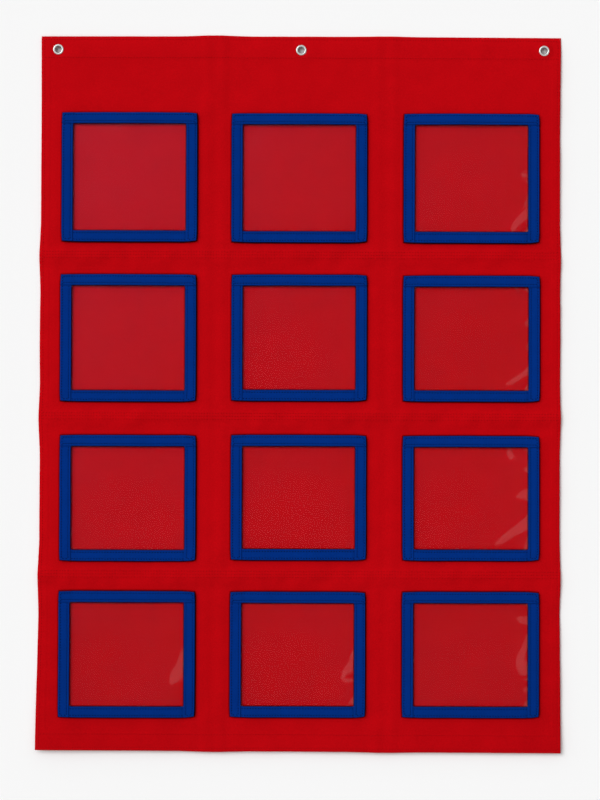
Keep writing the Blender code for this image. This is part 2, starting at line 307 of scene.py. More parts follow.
# How far each pocket's left, right, lower and upper side was sewn off its place, in millimetres
NUDGES = {
    "r1_c1": (0.52, 0.04, 0.20, 0.40),
    "r1_c2": (-0.09, -0.41, -0.29, -0.35),
    "r1_c3": (-0.09, -0.39, -0.33, -0.12),
    "r2_c1": (-0.40, -0.53, -0.94, 0.04),
    "r2_c2": (0.46, -0.19, 0.39, 0.19),
    "r2_c3": (-0.40, 0.53, 0.19, -0.47),
    "r3_c1": (-0.15, -0.09, -1.11, -0.32),
    "r3_c2": (0.50, -0.46, 0.59, 0.46),
    "r3_c3": (-0.63, 0.01, 0.57, -0.03),
    "r4_c1": (-0.73, -0.39, -0.49, -0.03),
    "r4_c2": (0.05, -1.16, 0.24, -0.34),
    "r4_c3": (-0.83, 0.03, 0.54, 0.15),
}

# Stitches
STITCH_PITCH = 0.0035
STITCH_LENGTH = 0.0020
STITCH_RADIUS = 0.00046
STITCH_SIDES = 6
STITCH_ARCH = 0.00016
STITCH_SINK = 0.00006
STITCH_JITTER = 0.00010
STITCH_SWELL = 0.08
STITCH_RING_SHARES = (-0.9, -0.5, 0.0, 0.5, 0.9)

# Eyelets
HOLE_RADIUS = 0.0041
BARREL_WALL = 0.0003
FLANGE_RADIUS = 0.0067
FLANGE_RISE = 0.0011
RIM_REACH = 0.0017
WASHER_RADIUS = 0.0068
WASHER_THICKNESS = 0.0005
EYELET_CLEAR_RADIUS = 0.0052
RIM_THICKNESS = 0.0006
WASHER_BACK_DEPTH = 0.0008
DIMPLE_REACH = 0.0130
EYELET_SEAT_FRONT = 0.0033
EYELET_SEAT_BACK = WASHER_BACK_DEPTH + WASHER_THICKNESS
ROUND_STEPS = 96
ARC_STEPS = 10
EYELET_NAMES = ("left", "middle", "right")

# Uneven surfaces: how many waves, the longest, the shortest, and their height, a share for the swell
CLOTH_WAVES = (26, 0.260, 0.055, 0.0022)
FINE_WAVES = (20, 0.060, 0.020, 0.0010)
PUCKER_WAVES = (12, 0.060, 0.020, 0.0018)
EDGE_WAVES = (6, 0.110, 0.030, 0.00016)
SWELL_WAVES = (7, 0.190, 0.060, 0.5)

# Seeds of the random draws: one for all, and what each use adds to it
SEED = 7
FINE_SEEDS = 1
PUCKER_SEEDS = 2
ROW_SEEDS = 10
WAVE_X_SEEDS = 100
WAVE_Z_SEEDS = 200
SWELL_SEEDS = 300
THREAD_SEEDS = 500

# Finishes: colours are linear, pitches and depths in metres, noise scales per metre
RED = (0.500, 0.0016, 0.0045)
BLUE = (0.0003, 0.0270, 0.2060)
RED_THREAD = (0.39, 0.0013, 0.0038)
BLUE_THREAD = (0.0002, 0.003, 0.026)
NICKEL_COLOUR = (0.50, 0.51, 0.50)

# Weaves: thread pitch, depth of the relief, strength of the flecks, roughness
CANVAS_FINISH = (0.00050, 0.00006, 0.26, 0.92)
TAPE_FINISH = (0.00036, 0.00005, 0.28, 0.85)
CLOTH_GLOSS = 0.02
CLOTH_SHEEN = 0.02
WEAVE_MIDDLE = 0.6
FLECK_ROUGHNESS = 0.7
FLECK_RELIEF = 0.6
THREAD_ROUGHNESS = 0.8
THREAD_GLOSS = 0.04
THREAD_TWIST_SHADE = 0.6
# Painted shade in the weave: how much darker its low places and lighter its high places are
WEAVE_PAINTED_SHADE = 0.10
# Painted shade stored on the meshes as a number per point, and how much it darkens canvas and tape at full
# strength
PAINTED_SHADE_ATTRIBUTE = "fold"
PAINTED_SHADE_DARKNESS = 0.90
BLOTCH_SCALE = 45.0
BLOTCH_SHARE = 0.07
# Painted shade: canvas and tape darker below this height, and more towards the sides
PAINTED_FALLOFF_FROM = -0.60
PAINTED_FALLOFF_LOSS = 0.065
FLECK_SCALE = 600.0
THREAD_TWIST_SCALE = 2500.0
HAZE_COLOUR = (0.125, 0.115, 0.30)
# The haze is brightened towards the upper left as a painted sheen: how fast that fades, where it is full, and
# its least share
PAINTED_SHEEN_FADE = 0.36
PAINTED_SHEEN_FULL_UNTIL = -0.055
PAINTED_SHEEN_LEAST = 0.15
HAZE_UNEVEN = 0.6
VINYL_ALPHA = 0.022
VINYL_IOR = 2.1
VINYL_ROUGHNESS_LOW = 0.10
VINYL_ROUGHNESS = 0.14
VINYL_HAZE_SCALE = 30.0
VINYL_GLOSS = 0.5
# How much the painted shadow on the window raises its cover at full strength
VINYL_PAINTED_SHADOW = 0.50
VINYL_RIPPLE_SCALE = 90.0
VINYL_RIPPLE_DEPTH = 0.0001
NICKEL_WEAR_SCALE = 700.0
NICKEL_SCRATCH_SCALE = 4000.0
NICKEL_SCRATCH_DEPTH = 0.00001
NICKEL_SCRATCH_STRENGTH = 0.4

# What wear adds to the nickel, and what is there without it
NICKEL_ROUGHNESS = (0.16, 0.24)
NICKEL_SHADE = (0.12, 0.94)

# Light: the world's level by degrees away from straight in front, and one soft lamp from the upper left
WORLD_LEVELS = ((180, 0.617), (20, 0.617), (14, 0.25), (0, 0.25))
BACKGROUND = 0.939
KEY_FROM = (-0.62, -1.0, 0.42)
KEY_STRENGTH = 1.61
KEY_ANGLE = math.radians(40.0)
SKY_BRIGHT_SIDE = (-0.80, 0.0, 0.60)
SKY_TILT = 0.8
WALL_Y = 0.0005
WALL_HOLE_HALF = 0.0060
WALL_HOLE_DEPTH = 0.0020
# Grey inside the nail holes, darker than the wall as painted shade
WALL_HOLE_SHADED_LEVEL = 0.60
WALL_LEVEL = 0.94
FLOOR_Z = -1.35
FLOOR_LEVEL = 0.94
STAGE_REACH = 8.0


def fade(distance, reach):
    """An even fall from 1 at no distance to 0 at the reach."""
    return np.clip(1.0 - distance / reach, 0.0, 1.0)


def softened(share):
    """A share from 0 to 1 with its two ends eased."""
    return share * share * (3.0 - 2.0 * share)


def bump(distance, reach):
    """A soft rise from 0 at the reach to 1 in the middle."""
    return softened(fade(np.abs(distance), reach))


def step_up(value, start, end):
    """A soft step from 0 at start to 1 at end."""
    return softened(np.clip((value - start) / (end - start), 0.0, 1.0))


def rounded(distance, radius):
    """Share of full height at a distance from an edge that is rounded like a quarter circle."""
    share = np.clip(distance / radius, 0.0, 1.0)
    return np.sqrt(1.0 - (1.0 - share) ** 2)


class Waves:
    """A smooth uneven surface: a sum of sine waves with seeded directions and phases."""

    def __init__(self, seed, count, longest, shortest, height):
        rng = np.random.default_rng(seed)
        angles = rng.uniform(0.0, 2.0 * math.pi, count)
        lengths = np.geomspace(longest, shortest, count)
        self.along_x = 2.0 * math.pi * np.cos(angles) / lengths
        self.along_z = 2.0 * math.pi * np.sin(angles) / lengths
        self.phases = rng.uniform(0.0, 2.0 * math.pi, count)
        self.heights = height * lengths / lengths.sum()

    def at(self, x, z):
        total = np.zeros(np.broadcast(x, z).shape)
        for kx, kz, phase, height in zip(self.along_x, self.along_z, self.phases, self.heights):
            total += height * np.sin(kx * x + kz * z + phase)
        return total


UNEVEN_CLOTH = Waves(SEED, *CLOTH_WAVES)
FINE_UNEVEN = Waves(SEED + FINE_SEEDS, *FINE_WAVES)
SEAM_PUCKERS = Waves(SEED + PUCKER_SEEDS, *PUCKER_WAVES)


def toward_corners(x):
    """Shares of the left, middle and right of the bottom edge's lift at a place across the chart."""
    across = np.clip(x / HALF_WIDTH, -1.0, 1.0)
    left = np.clip(-across, 0.0, 1.0) ** 2
    right = np.clip(across, 0.0, 1.0) ** 2
    return left, 1.0 - left - right, right


def bottom_lift(x, z):
    """How far the lower edge stands away from the wall, mostly at its corners."""
    left, middle, right = toward_corners(x)
    height = BOTTOM_LIFTS["left"] * left + BOTTOM_LIFTS["middle"] * middle + BOTTOM_LIFTS["right"] * right
    return height * fade(z - BOTTOM_EDGE, BOTTOM_LIFT_REACH) ** 2


def broad_relief(x, z):
    """The large folds of the hanging cloth: seam ridges, storage creases, the lifted lower edge."""
    x, z = np.broadcast_arrays(np.asarray(x, float), np.asarray(z, float))
    ridge = sum(bump(z - seam, SEAM_RIDGE_REACH) for seam in SEAMS)
    crease = sum(
        bump(x - centre - side * CREASE_SPACING / 2, CREASE_REACH)
        for centre in GAP_CENTRES
        for side in (-1, 1)
    )
    relief = SEAM_RIDGE_HEIGHT * ridge + CREASE_HEIGHT * crease * (1.0 - ridge)
    relief = relief + SEAM_PUCKERS.at(x, z) * sum(bump(z - seam, SEAM_PUCKER_REACH) for seam in SEAMS)
    return relief + UNEVEN_CLOTH.at(x, z) + FINE_UNEVEN.at(x, z) + bottom_lift(x, z) - edge_droop(x, z)


def edge_droop(x, z):
    """How far the left and the upper edge fall back towards the wall."""
    side_droop = SIDE_DROOP * fade(x + HALF_WIDTH, DROOP_REACH) ** 2
    return np.maximum(side_droop, TOP_DROOP * fade(TOP_EDGE - z, DROOP_REACH) ** 2)


def edge_distance(x, z):
    """Distance from a place on the flat cloth to its nearest outer edge."""
    return np.minimum(HALF_WIDTH - np.abs(x), np.minimum(TOP_EDGE - z, z - BOTTOM_EDGE))


def hem_share(x, z, reach):
    """1 over the turned hems and 0 inside them, with a step of the given reach."""
    return 1.0 - (
        step_up(HALF_WIDTH - np.abs(x), SIDE_HEM_WIDTH - reach, SIDE_HEM_WIDTH)
        * step_up(TOP_EDGE - z, TOP_HEM_WIDTH - reach, TOP_HEM_WIDTH)
        * step_up(z - BOTTOM_EDGE, BOTTOM_HEM_WIDTH - reach, BOTTOM_HEM_WIDTH)
    )


def edge_rolling(x, z):
    """How far each face is drawn in where the outer edge is rolled over."""
    rounding = EDGE_ROLL - np.minimum(edge_distance(x, z), EDGE_ROLL)
    rolled = EDGE_ROLL - np.sqrt(np.maximum(EDGE_ROLL**2 - rounding**2, 0.0))
    return rolled * (CLOTH_THICKNESS + HEM_EXTRA) / (2 * EDGE_ROLL)


def sewn_relief(x, z):
    """The small relief of hems, seams and stitch lines."""
    in_hem = hem_share(x, z, HEM_STEP_REACH)
    relief = SEAM_PLATEAU_HEIGHT * in_hem
    valleys = bump(edge_distance(x, z) - EDGE_STITCH_INSET, STITCH_VALLEY_REACH)
    valleys = np.maximum(valleys, bump(TOP_EDGE - z - TOP_HEM_STITCH_DROP, STITCH_VALLEY_REACH))
    valleys = np.maximum(valleys, bump(z - BOTTOM_EDGE - BOTTOM_HEM_STITCH_RISE, STITCH_VALLEY_REACH))
    for seam in SEAMS:
        low = seam + SEAM_STITCH_RISES[0] - STITCH_VALLEY_REACH
        high = seam + SEAM_STITCH_RISES[-1] + STITCH_VALLEY_REACH
        plateau = step_up(z, low - HEM_STEP_REACH, low) * (1.0 - step_up(z, high, high + HEM_STEP_REACH))
        relief = relief + SEAM_PLATEAU_HEIGHT * plateau * (1.0 - in_hem)
        for rise in SEAM_STITCH_RISES:
            valleys = np.maximum(valleys, bump(z - seam - rise, STITCH_VALLEY_REACH))
    return relief - STITCH_VALLEY_DEPTH * valleys - edge_rolling(x, z)


def eyelet_places():
    """Centres of the three eyelets on the pattern."""
    places = []
    for name in EYELET_NAMES:
        low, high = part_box(f"eyelet_{name}")
        places.append(((low.x + high.x) / 2, (low.z + high.z) / 2))
    return places


EYELETS = eyelet_places()


def pressed_flat(depth, seat, x, z):
    """The depth of a face of the cloth, pressed to its seat under the eyelets."""
    for eyelet_x, eyelet_z in EYELETS:
        free = step_up(np.hypot(x - eyelet_x, z - eyelet_z), FLANGE_RADIUS, DIMPLE_REACH)
        depth = seat + (depth - seat) * free
    return depth


def front_depth(x, z):
    depth = CLOTH_FRONT + broad_relief(x, z) + sewn_relief(x, z) - pocket_grooves(x, z)
    return np.maximum(pressed_flat(depth, EYELET_SEAT_FRONT, x, z), back_depth(x, z) + THINNEST_CLOTH)


def back_depth(x, z):
    """Depth of the rear face, where the turned-in hems lie."""
    reach = HEM_STEP_REACH / 2
    allowance = sum(
        step_up(z, seam - SEAM_ALLOWANCE, seam - SEAM_ALLOWANCE + reach)
        * (1.0 - step_up(z, seam + SEAM_ALLOWANCE - reach, seam + SEAM_ALLOWANCE))
        for seam in SEAMS
    )
    layers = np.maximum(hem_share(x, z, reach), allowance)
    flat = CLOTH_FRONT - CLOTH_THICKNESS + broad_relief(x, z) - pocket_grooves(x, z)
    depth = flat - HEM_EXTRA * layers + edge_rolling(x, z)
    return np.maximum(pressed_flat(depth, EYELET_SEAT_BACK, x, z), LOWEST_BACK)


def outline_shift(x, z):
    """Sideways shift of the cloth near its left and right edge, which are never quite straight."""
    shift = np.zeros(np.broadcast(x, z).shape)
    for side, sign in (("left", -1), ("right", 1)):
        swell = sum(bump(z - seam, SEAM_SWELL_REACH) for seam in SEAMS)
        top = bump(np.minimum(TOP_EDGE - z, TOP_FLARE_REACH), TOP_FLARE_REACH)
        bottom = bump(np.minimum(z - BOTTOM_EDGE, BOTTOM_FLARE_REACH), BOTTOM_FLARE_REACH)
        outward = EDGE_REST_SHIFTS[side] + EDGE_SEAM_SWELLS[side] * swell
        outward = outward + EDGE_TOP_FLARES[side] * top + EDGE_BOTTOM_FLARES[side] * bottom
        outward = outward + ROW_SWELL * bump(z - (SEAMS[0] + SEAMS[1]) / 2, ROW_SWELL_REACH)
        shift = shift + sign * outward * fade(HALF_WIDTH - sign * x, EDGE_SHIFT_REACH)
    return shift


def end_shift(x, z):
    """Upward shift of the cloth near its upper edge, which is bowed, and its lower edge, which slopes."""
    across = x / HALF_WIDTH
    top, bottom = TOP_BOW * (1.0 - TOP_BOW_LOSS * across**2), BOTTOM_TILT * across
    for centre, rise, drop in zip(GAP_CENTRES, TOP_CREASE_RISES, BOTTOM_CREASE_DROPS):
        top = top + rise * bump(x - centre, CREASE_END_REACH)
        bottom = bottom + drop * bump(x - centre, CREASE_END_REACH)
    return top * fade(TOP_EDGE - z, END_SHIFT_REACH) - bottom * fade(z - BOTTOM_EDGE, END_SHIFT_REACH)


def cloth_point(x, z, depth):
    """Place of a point of the cloth, given where it lies on the flat pattern."""
    return np.stack([x + outline_shift(x, z), -depth, z + end_shift(x, z)], axis=-1)


def stations(low, high, coarse, marks):
    """Rising places from low to high: coarse steps, with fine ones within reach of each mark."""
    count = max(1, round((high - low) / coarse))
    places = list(np.linspace(low, high, count + 1))
    for mark, reach, fine in marks:
        steps = round(reach / fine)
        places += [mark + fine * step for step in range(-steps, steps + 1)]
    places = sorted(place for place in places if low < place < high)
    kept = [low]
    for place in places:
        if place - kept[-1] > CLOSEST:
            kept.append(place)
    if high - kept[-1] < CLOSEST:
        kept.pop()
    return np.array([*kept, high])


def make_mesh_object(name, points, faces, material, smooth=True):
    mesh = bpy.data.meshes.new(name)
    mesh.from_pydata(np.asarray(points, float).reshape(-1, 3).tolist(), [], faces)
    mesh.update()
    if smooth:
        mesh.shade_smooth()
        mesh.set_sharp_from_angle(angle=SHARP_ANGLE)
    mesh.materials.append(material)
    obj = bpy.data.objects.new(name, mesh)
    bpy.context.scene.collection.objects.link(obj)
    return obj


def make_shaded_object(name, points, faces, material):
    """A mesh whose points carry a fourth number, stored as the painted shade of narrow places."""
    obj = make_mesh_object(name, points[:, :3], faces, material)
    shade = obj.data.attributes.new(PAINTED_SHADE_ATTRIBUTE, "FLOAT", "POINT")
    shade.data.foreach_set("value", points[:, 3].astype(np.float32))
    return obj


def closed_sheet(front, back, kept=None):
    """Points and faces of a sheet with a front and a rear face, over the kept cells of a grid.

    Grid rows rise and columns run to the right, so that the front faces -Y.
    """
    rows, columns = front.shape[:2]
    if kept is None:
        kept = np.ones((rows - 1, columns - 1), bool)
    index = np.arange(rows * columns).reshape(rows, columns)
    behind = index + rows * columns
    corners = [index[:-1, :-1], index[:-1, 1:], index[1:, 1:], index[1:, :-1]]
    rear = [behind[:-1, :-1], behind[:-1, 1:], behind[1:, 1:], behind[1:, :-1]]
    faces = np.stack([corner[kept] for corner in corners], axis=-1).tolist()
    faces += np.stack([corner[kept] for corner in reversed(rear)], axis=-1).tolist()
    padded = np.pad(kept, 1)
    neighbours = [padded[:-2, 1:-1], padded[1:-1, 2:], padded[2:, 1:-1], padded[1:-1, :-2]]
    for side, neighbour in enumerate(neighbours):
        open_side = kept & ~neighbour
        a, b = side, (side + 1) % 4
        wall = [corners[b][open_side], corners[a][open_side], rear[a][open_side], rear[b][open_side]]
        faces += np.stack(wall, axis=-1).tolist()
    points = np.concatenate([sheet.reshape(-1, sheet.shape[-1]) for sheet in (front, back)])
    used, flat = np.unique(np.array(faces), return_inverse=True)
    return points[used], flat.reshape(-1, 4).tolist()


def join_shells(shells):
    """Points and faces of several closed shells as one list."""
    points, faces, offset = [], [], 0
    for shell_points, shell_faces in shells:
        points.append(shell_points)
        faces += (np.array(shell_faces) + offset).tolist()
        offset += len(shell_points)
    return np.concatenate(points), faces


class Pocket:
    """One pocket. Its places x and z are on the flat pattern, its heights are above the cloth."""

    def __init__(self, row, column):
        self.name = f"r{row + 1}_c{column + 1}"
        self.body = BODIES[row]
        low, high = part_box(f"edge_tape_{self.name}")
        left, right, bottom, top = (nudge * MM for nudge in NUDGES[self.name])
        self.left = low.x - POCKET_GROWTH["left"] + left
        self.right = high.x + POCKET_GROWTH["right"] + right
        self.bottom = low.z - POCKET_GROWTH["bottom"] + bottom
        self.top = high.z + POCKET_GROWTH["top"] + top
        self.width, self.height = self.right - self.left, self.top - self.bottom
        self.seed = SEED + ROW_SEEDS * row + column
        self.rng = np.random.default_rng(self.seed)
        self.wave_x = Waves(self.seed + WAVE_X_SEEDS, *EDGE_WAVES)
        self.wave_z = Waves(self.seed + WAVE_Z_SEEDS, *EDGE_WAVES)
        self.mouth_gape = MOUTH_GAPE * self.rng.uniform(*GAPE_SPREAD)

    def gape(self, x, z):
        """How far the front stands open: most at the middle of the upper edge."""
        across = np.clip((x - self.left) / self.width, 0.0, 1.0)
        up = np.clip((z - self.bottom) / self.height, 0.0, 1.0)
        return self.mouth_gape * np.sin(math.pi * across) ** GAPE_POWER * up**3

    def warp(self, x, z):
        """Draws the corners in, as sewn binding does, and lets the edges waver a little."""
        from_left, from_right = x - self.left, self.right - x
        from_bottom, from_top = z - self.bottom, self.top - z
        near_end = fade(np.minimum(from_bottom, from_top), CORNER_REACH) ** 2
        near_left = fade(from_left, LEFT_CORNER_REACH) ** LEFT_CORNER_POWER
        near_right = fade(from_right, CORNER_REACH) ** 2
        sideways = fade(from_left, TAPE_WIDTH) - fade(from_right, TAPE_WIDTH)
        draw_up = CORNER_DRAWS["bottom left"] * near_left + CORNER_DRAWS["bottom right"] * near_right
        draw_down = CORNER_DRAWS["top left"] * near_left + CORNER_DRAWS["top right"] * near_right
        shift_x = CORNER_DRAW_SIDES * near_end * sideways
        shift_z = draw_up * fade(from_bottom, TAPE_WIDTH) - draw_down * fade(from_top, TAPE_WIDTH)
        return x + shift_x + self.wave_x.at(x, z), z + shift_z + self.wave_z.at(x, z)

    def point(self, x, z, height, gaping=True):
        """Places in space of points at a height above the cloth."""
        x, z, height = np.broadcast_arrays(x, z, height)
        if gaping:
            height = height + self.gape(x, z)
        moved_x, moved_z = self.warp(x, z)
        return np.stack([moved_x, -(CLOTH_FRONT + broad_relief(x, z) + height), moved_z], axis=-1)


POCKETS = [Pocket(row, column) for row in range(len(ROW_NAMES)) for column in range(COLUMN_COUNT)]


def beside_pockets(x, z, right_and_below, left_and_above, reach):
    """A value beside the outline of every pocket, which fades within the reach."""
    most = np.zeros(np.broadcast(x, z).shape)
    for pocket in POCKETS:
        from_left, from_right = pocket.warp(pocket.left, z)[0] - x, x - pocket.warp(pocket.right, z)[0]
        from_bottom, from_top = pocket.warp(x, pocket.bottom)[1] - z, z - pocket.warp(x, pocket.top)[1]
        aside, above = np.maximum(from_left, from_right), np.maximum(from_bottom, from_top)
        outside = np.maximum(aside, above)
        outside = np.where(np.minimum(aside, above) > 0.0, np.hypot(aside, above), outside)
        deep = np.maximum(from_right, from_bottom) > np.maximum(from_left, from_top)
        value = np.where(deep, right_and_below, left_and_above)
        most = np.maximum(most, value * bump(outside, reach))
    return most


def pocket_grooves(x, z):
    """The groove that the sewing pulls into the cloth round each pocket, deeper on the right and below."""
    return beside_pockets(x, z, GROOVE_DEEP, GROOVE_SHALLOW, GROOVE_REACH)


def with_shade(points, shade):
    """Points with a fourth number, the painted shade stored there."""
    return np.concatenate([points, np.broadcast_to(shade, points.shape[:-1])[..., None]], axis=-1)


class Strip:
    """One length of binding tape. s runs along it and u across it, from its outer edge."""

    def __init__(self, pocket, side):
        self.pocket, self.side = pocket, side
        self.upright = side in ("left", "right")
        self.length = pocket.height if self.upright else pocket.width

    def place(self, s, u):
        """Place on the pattern, with the hidden ends tucked in under the strip that covers them."""
        pocket = self.pocket
        if self.side == "mouth":
            return pocket.left + s, pocket.top - u
        covered = self.covered(s)
        if self.side == "bottom":
            return pocket.left + s, pocket.bottom + u + TUCK * covered
        u = u + TUCK * covered
        return (pocket.left + u if self.side == "left" else pocket.right - u), pocket.bottom + s

    def covered(self, s):
        """1 where another strip lies over this one, 0 where it shows."""
        if self.side == "mouth":
            return np.zeros_like(s)
        if self.side == "bottom":
            return 1.0 - step_up(np.minimum(s, self.length - s), TAPE_WIDTH - TUCK, TAPE_WIDTH + LAP_REACH)
        return 1.0 - step_up(self.length - s, TAPE_WIDTH - TUCK, TAPE_WIDTH + LAP_REACH)

    def covering(self, s):
        """1 where this strip lies over another one."""
        if self.side == "bottom":
            return np.zeros_like(s)
        from_end = np.minimum(s, self.length - s) if self.side == "mouth" else s
        return 1.0 - step_up(from_end, TAPE_WIDTH, TAPE_WIDTH + LAP_REACH)

    def open_end(self, s):
        """Distance from the nearest end of the strip that is turned under in plain view."""
        if self.side == "mouth":
            return np.minimum(s, self.length - s)
        if self.side == "bottom":
            return np.full_like(s, self.length)
        return s

    def stitched(self, s, u):
        """Depth share of the valleys that the stitch rows pull into the tape."""
        pucker = 1.0 - PUCKER_SHARE * np.cos(2.0 * math.pi * s / STITCH_PITCH)
        valleys = sum(bump(u - row, STITCH_VALLEY_REACH) for row in STITCH_ROWS) * pucker
        cross = bump(self.open_end(s) - STITCH_ROWS[0], STITCH_VALLEY_REACH)
        return np.maximum(valleys, cross) * (1.0 - self.covered(s))

    def front(self, s, u):
        """Height of the front face before its edges are rounded: puffed rims, stitched in beside them."""
        covered, covering = self.covered(s), self.covering(s)
        crown = TAPE_CROWN * (1.0 - (2.0 * u / TAPE_WIDTH - 1.0) ** 2) * (1.0 - covered)
        lap = LAP_RISE * covering - LAP_DROP * covered
        in_rim = 1.0 - step_up(np.minimum(u, TAPE_WIDTH - u), TAPE_RIM, TAPE_RIM + TAPE_RIM_FALL)
        rim = TAPE_RIM_HEIGHT * in_rim * (1.0 - covered)
        free = (1.0 - covering) * (1.0 - covered)
        sag = EDGE_SAGS[self.side] * fade(u, SAG_REACH) ** 2 * free
        return TAPE_RISE + crown + lap + rim - sag - TAPE_VALLEY_DEPTH * self.stitched(s, u)

    def floor(self, s, u):
        """Height of the underside: over the cloth, from which its outer edge lifts, or over a strip."""
        low = SEAT + OVERHANG * (1.0 - step_up(u, 0.0, STITCH_ROWS[0]))
        return low + (TAPE_RISE - LAP_DROP + LAP_CLEARANCE - low) * self.covering(s)

    def painted_edge_shade(self, s, u):
        """Painted shade on the tape's edges: 1 at the outer folded edge and at the inner edge, 0 on the flat.
        """
        outer = 1.0 - step_up(np.minimum(u, self.open_end(s)), OUTER_PAINTED_SHADE_WIDTH, TAPE_NOSE)
        inner = 1.0 - step_up(TAPE_WIDTH - u, INNER_PAINTED_SHADE_WIDTH, TAPE_EDGE_ROUND)
        inner = inner * (1.0 - (1.0 - LAPPED_PAINTED_SHADE) * self.covering(s))
        return np.maximum(outer, inner) * (1.0 - self.covered(s))

    def point(self, s, u, height, gaping=True):
        return self.pocket.point(*self.place(s, u), height, gaping)

    def front_grid(self):
        """Places along and across the front layer, closest where it turns and where it is sewn."""
        start = TUCK if self.side == "bottom" else 0.0
        end = self.length - (0.0 if self.side == "mouth" else TUCK)
        turned = TAPE_NOSE * np.array(NOSE_SHARES)
        along = [np.arange(start, end - STITCH_PITCH / 4, STITCH_PITCH / 2), [end], turned]
        if self.side == "mouth":
            along.append(self.length - turned)
        across = [
            turned,
            *[row + STITCH_VALLEY_REACH * np.array(VALLEY_SHARES) for row in STITCH_ROWS],
            TAPE_WIDTH * np.array(CROWN_SHARES),
            TAPE_WIDTH - TAPE_EDGE_ROUND * np.array(ROUND_SHARES),
        ]
        places = [np.unique(np.concatenate(parts).round(PLACE_DIGITS)) for parts in (along, across)]
        return np.meshgrid(*places, indexing="ij")

    def front_layer(self):
        """The layer in front of the window, with its folded outer edge."""
        s, u = self.front_grid()
        full, floor = self.front(s, u), self.floor(s, u)
        edge = rounded(u, TAPE_NOSE) * rounded(self.open_end(s), TAPE_NOSE)
        top = floor + (full - floor) * edge
        top = top - TAPE_EDGE_ROUND * (1.0 - rounded(TAPE_WIDTH - u, TAPE_EDGE_ROUND))
        folded = (u < TAPE_NOSE) | (self.open_end(s) < TAPE_NOSE)
        under = np.where(folded, floor - SEAT / 2, np.maximum(full - TAPE_THICKNESS, floor))
        return closed_strip(self, s, u, top, under, True)

    def rear_layer(self):
        """The layer behind the window's edge, which lies on the cloth but for the mouth's."""
        lifted = self.side == "mouth"
        start = TAPE_NOSE if self.side == "bottom" else TAPE_WIDTH
        along = np.linspace(start, self.length - (TAPE_WIDTH if lifted else TAPE_NOSE), REAR_ROWS)
        across = np.linspace(TAPE_NOSE, TAPE_WIDTH - FOLD_WIDTH, REAR_COLUMNS)
        s, u = np.meshgrid(along, across, indexing="ij")
        top = np.minimum(self.front(s, u) - TAPE_THICKNESS, WINDOW_LOW) - LAP_CLEARANCE
        under = SEAT + OVERHANG * (1.0 - step_up(u, 0.0, STITCH_ROWS[0]))
        return closed_strip(self, s, u, top, under, lifted)

    def layers(self):
        return [self.front_layer(), self.rear_layer()]


def closed_strip(strip, s, u, top, under, gaping):
    """A closed sheet over a strip's grid, turned so that its rows rise and its columns run to the right."""
    # Painted shade of the tape's edges, stored with every point
    shade = strip.painted_edge_shade(s, u)
    sheets = [with_shade(strip.point(s, u, height, gaping), shade) for height in (top, under)]
    if not strip.upright:
        sheets = [np.swapaxes(sheet, 0, 1) for sheet in sheets]
    if strip.side == "right":
        sheets = [sheet[:, ::-1] for sheet in sheets]
    if strip.side == "mouth":
        sheets = [sheet[::-1] for sheet in sheets]
    return closed_sheet(*sheets)


class Stitch:
    """A short raised loop of thread: rings along it, with a point at each end."""

    def __init__(self):
        half = STITCH_LENGTH / 2
        turns = np.linspace(0.0, 2.0 * math.pi, STITCH_SIDES, endpoint=False)
        shares = np.array(STITCH_RING_SHARES)
        thick = STITCH_RADIUS * np.sqrt(1.0 - shares**4)
        arch = STITCH_ARCH * (1.0 - shares**2) - STITCH_SINK
        self.along = np.concatenate([np.repeat(shares * half, STITCH_SIDES), [-half, half]])
        self.across = np.concatenate([np.outer(thick, np.cos(turns)).ravel(), [0.0, 0.0]])
        rings = np.outer(thick, np.sin(turns)) + arch[:, None]
        self.up = np.concatenate([rings.ravel(), [-STITCH_SINK] * 2])
        self.faces = self.ring_faces(len(shares))

    @staticmethod
    def ring_faces(rings):
        faces = []
        start, end = rings * STITCH_SIDES, rings * STITCH_SIDES + 1
        for side in range(STITCH_SIDES):
            after = (side + 1) % STITCH_SIDES
            for ring in range(rings - 1):
                low, high = ring * STITCH_SIDES, (ring + 1) * STITCH_SIDES
                faces.append((low + side, low + after, high + after, high + side))
            last = (rings - 1) * STITCH_SIDES
            faces.append((start, after, side))
            faces.append((end, last + side, last + after))
        return faces


STITCH = Stitch()


def stitch_row(start, end, surface, rng):
    """Points of the stitches from start to end, two places on a surface.

    surface(a, b, height) gives places in space; a and b are its own two coordinates.
    """
    start, end = np.array(start), np.array(end)
    length = np.linalg.norm(end - start)
    direction = (end - start) / length
    count = max(1, round(length / STITCH_PITCH))
    middles = start + np.outer((np.arange(count) + 0.5) / count, end - start)
    middles = middles + rng.normal(0.0, STITCH_JITTER, (count, 2))
    turn = rng.normal(0.0, STITCH_JITTER / STITCH_LENGTH, count)
    forward = np.stack([direction[0] - turn * direction[1], direction[1] + turn * direction[0]], axis=-1)
    sideways = np.stack([-forward[:, 1], forward[:, 0]], axis=-1)
    places = middles[:, None] + forward[:, None] * STITCH.along[:, None]
    places = places + sideways[:, None] * STITCH.across[:, None]
    swell = 1.0 + rng.normal(0.0, STITCH_SWELL, (count, 1))
    return surface(places[..., 0], places[..., 1], STITCH.up * swell)


def stitches_object(name, rows, material):
    """One mesh of all the stitches in rows of points."""
    points = np.concatenate([row.reshape(-1, len(STITCH.along), 3) for row in rows])
    faces = np.array([(*face, -1)[:4] for face in STITCH.faces])
    offsets = np.arange(len(points)) * len(STITCH.along)
    everywhere = np.where(faces[None] < 0, -1, faces[None] + offsets[:, None, None]).reshape(-1, 4)
    listed = [face if face[3] >= 0 else face[:3] for face in everywhere.tolist()]
    return make_mesh_object(name, points, listed, material)


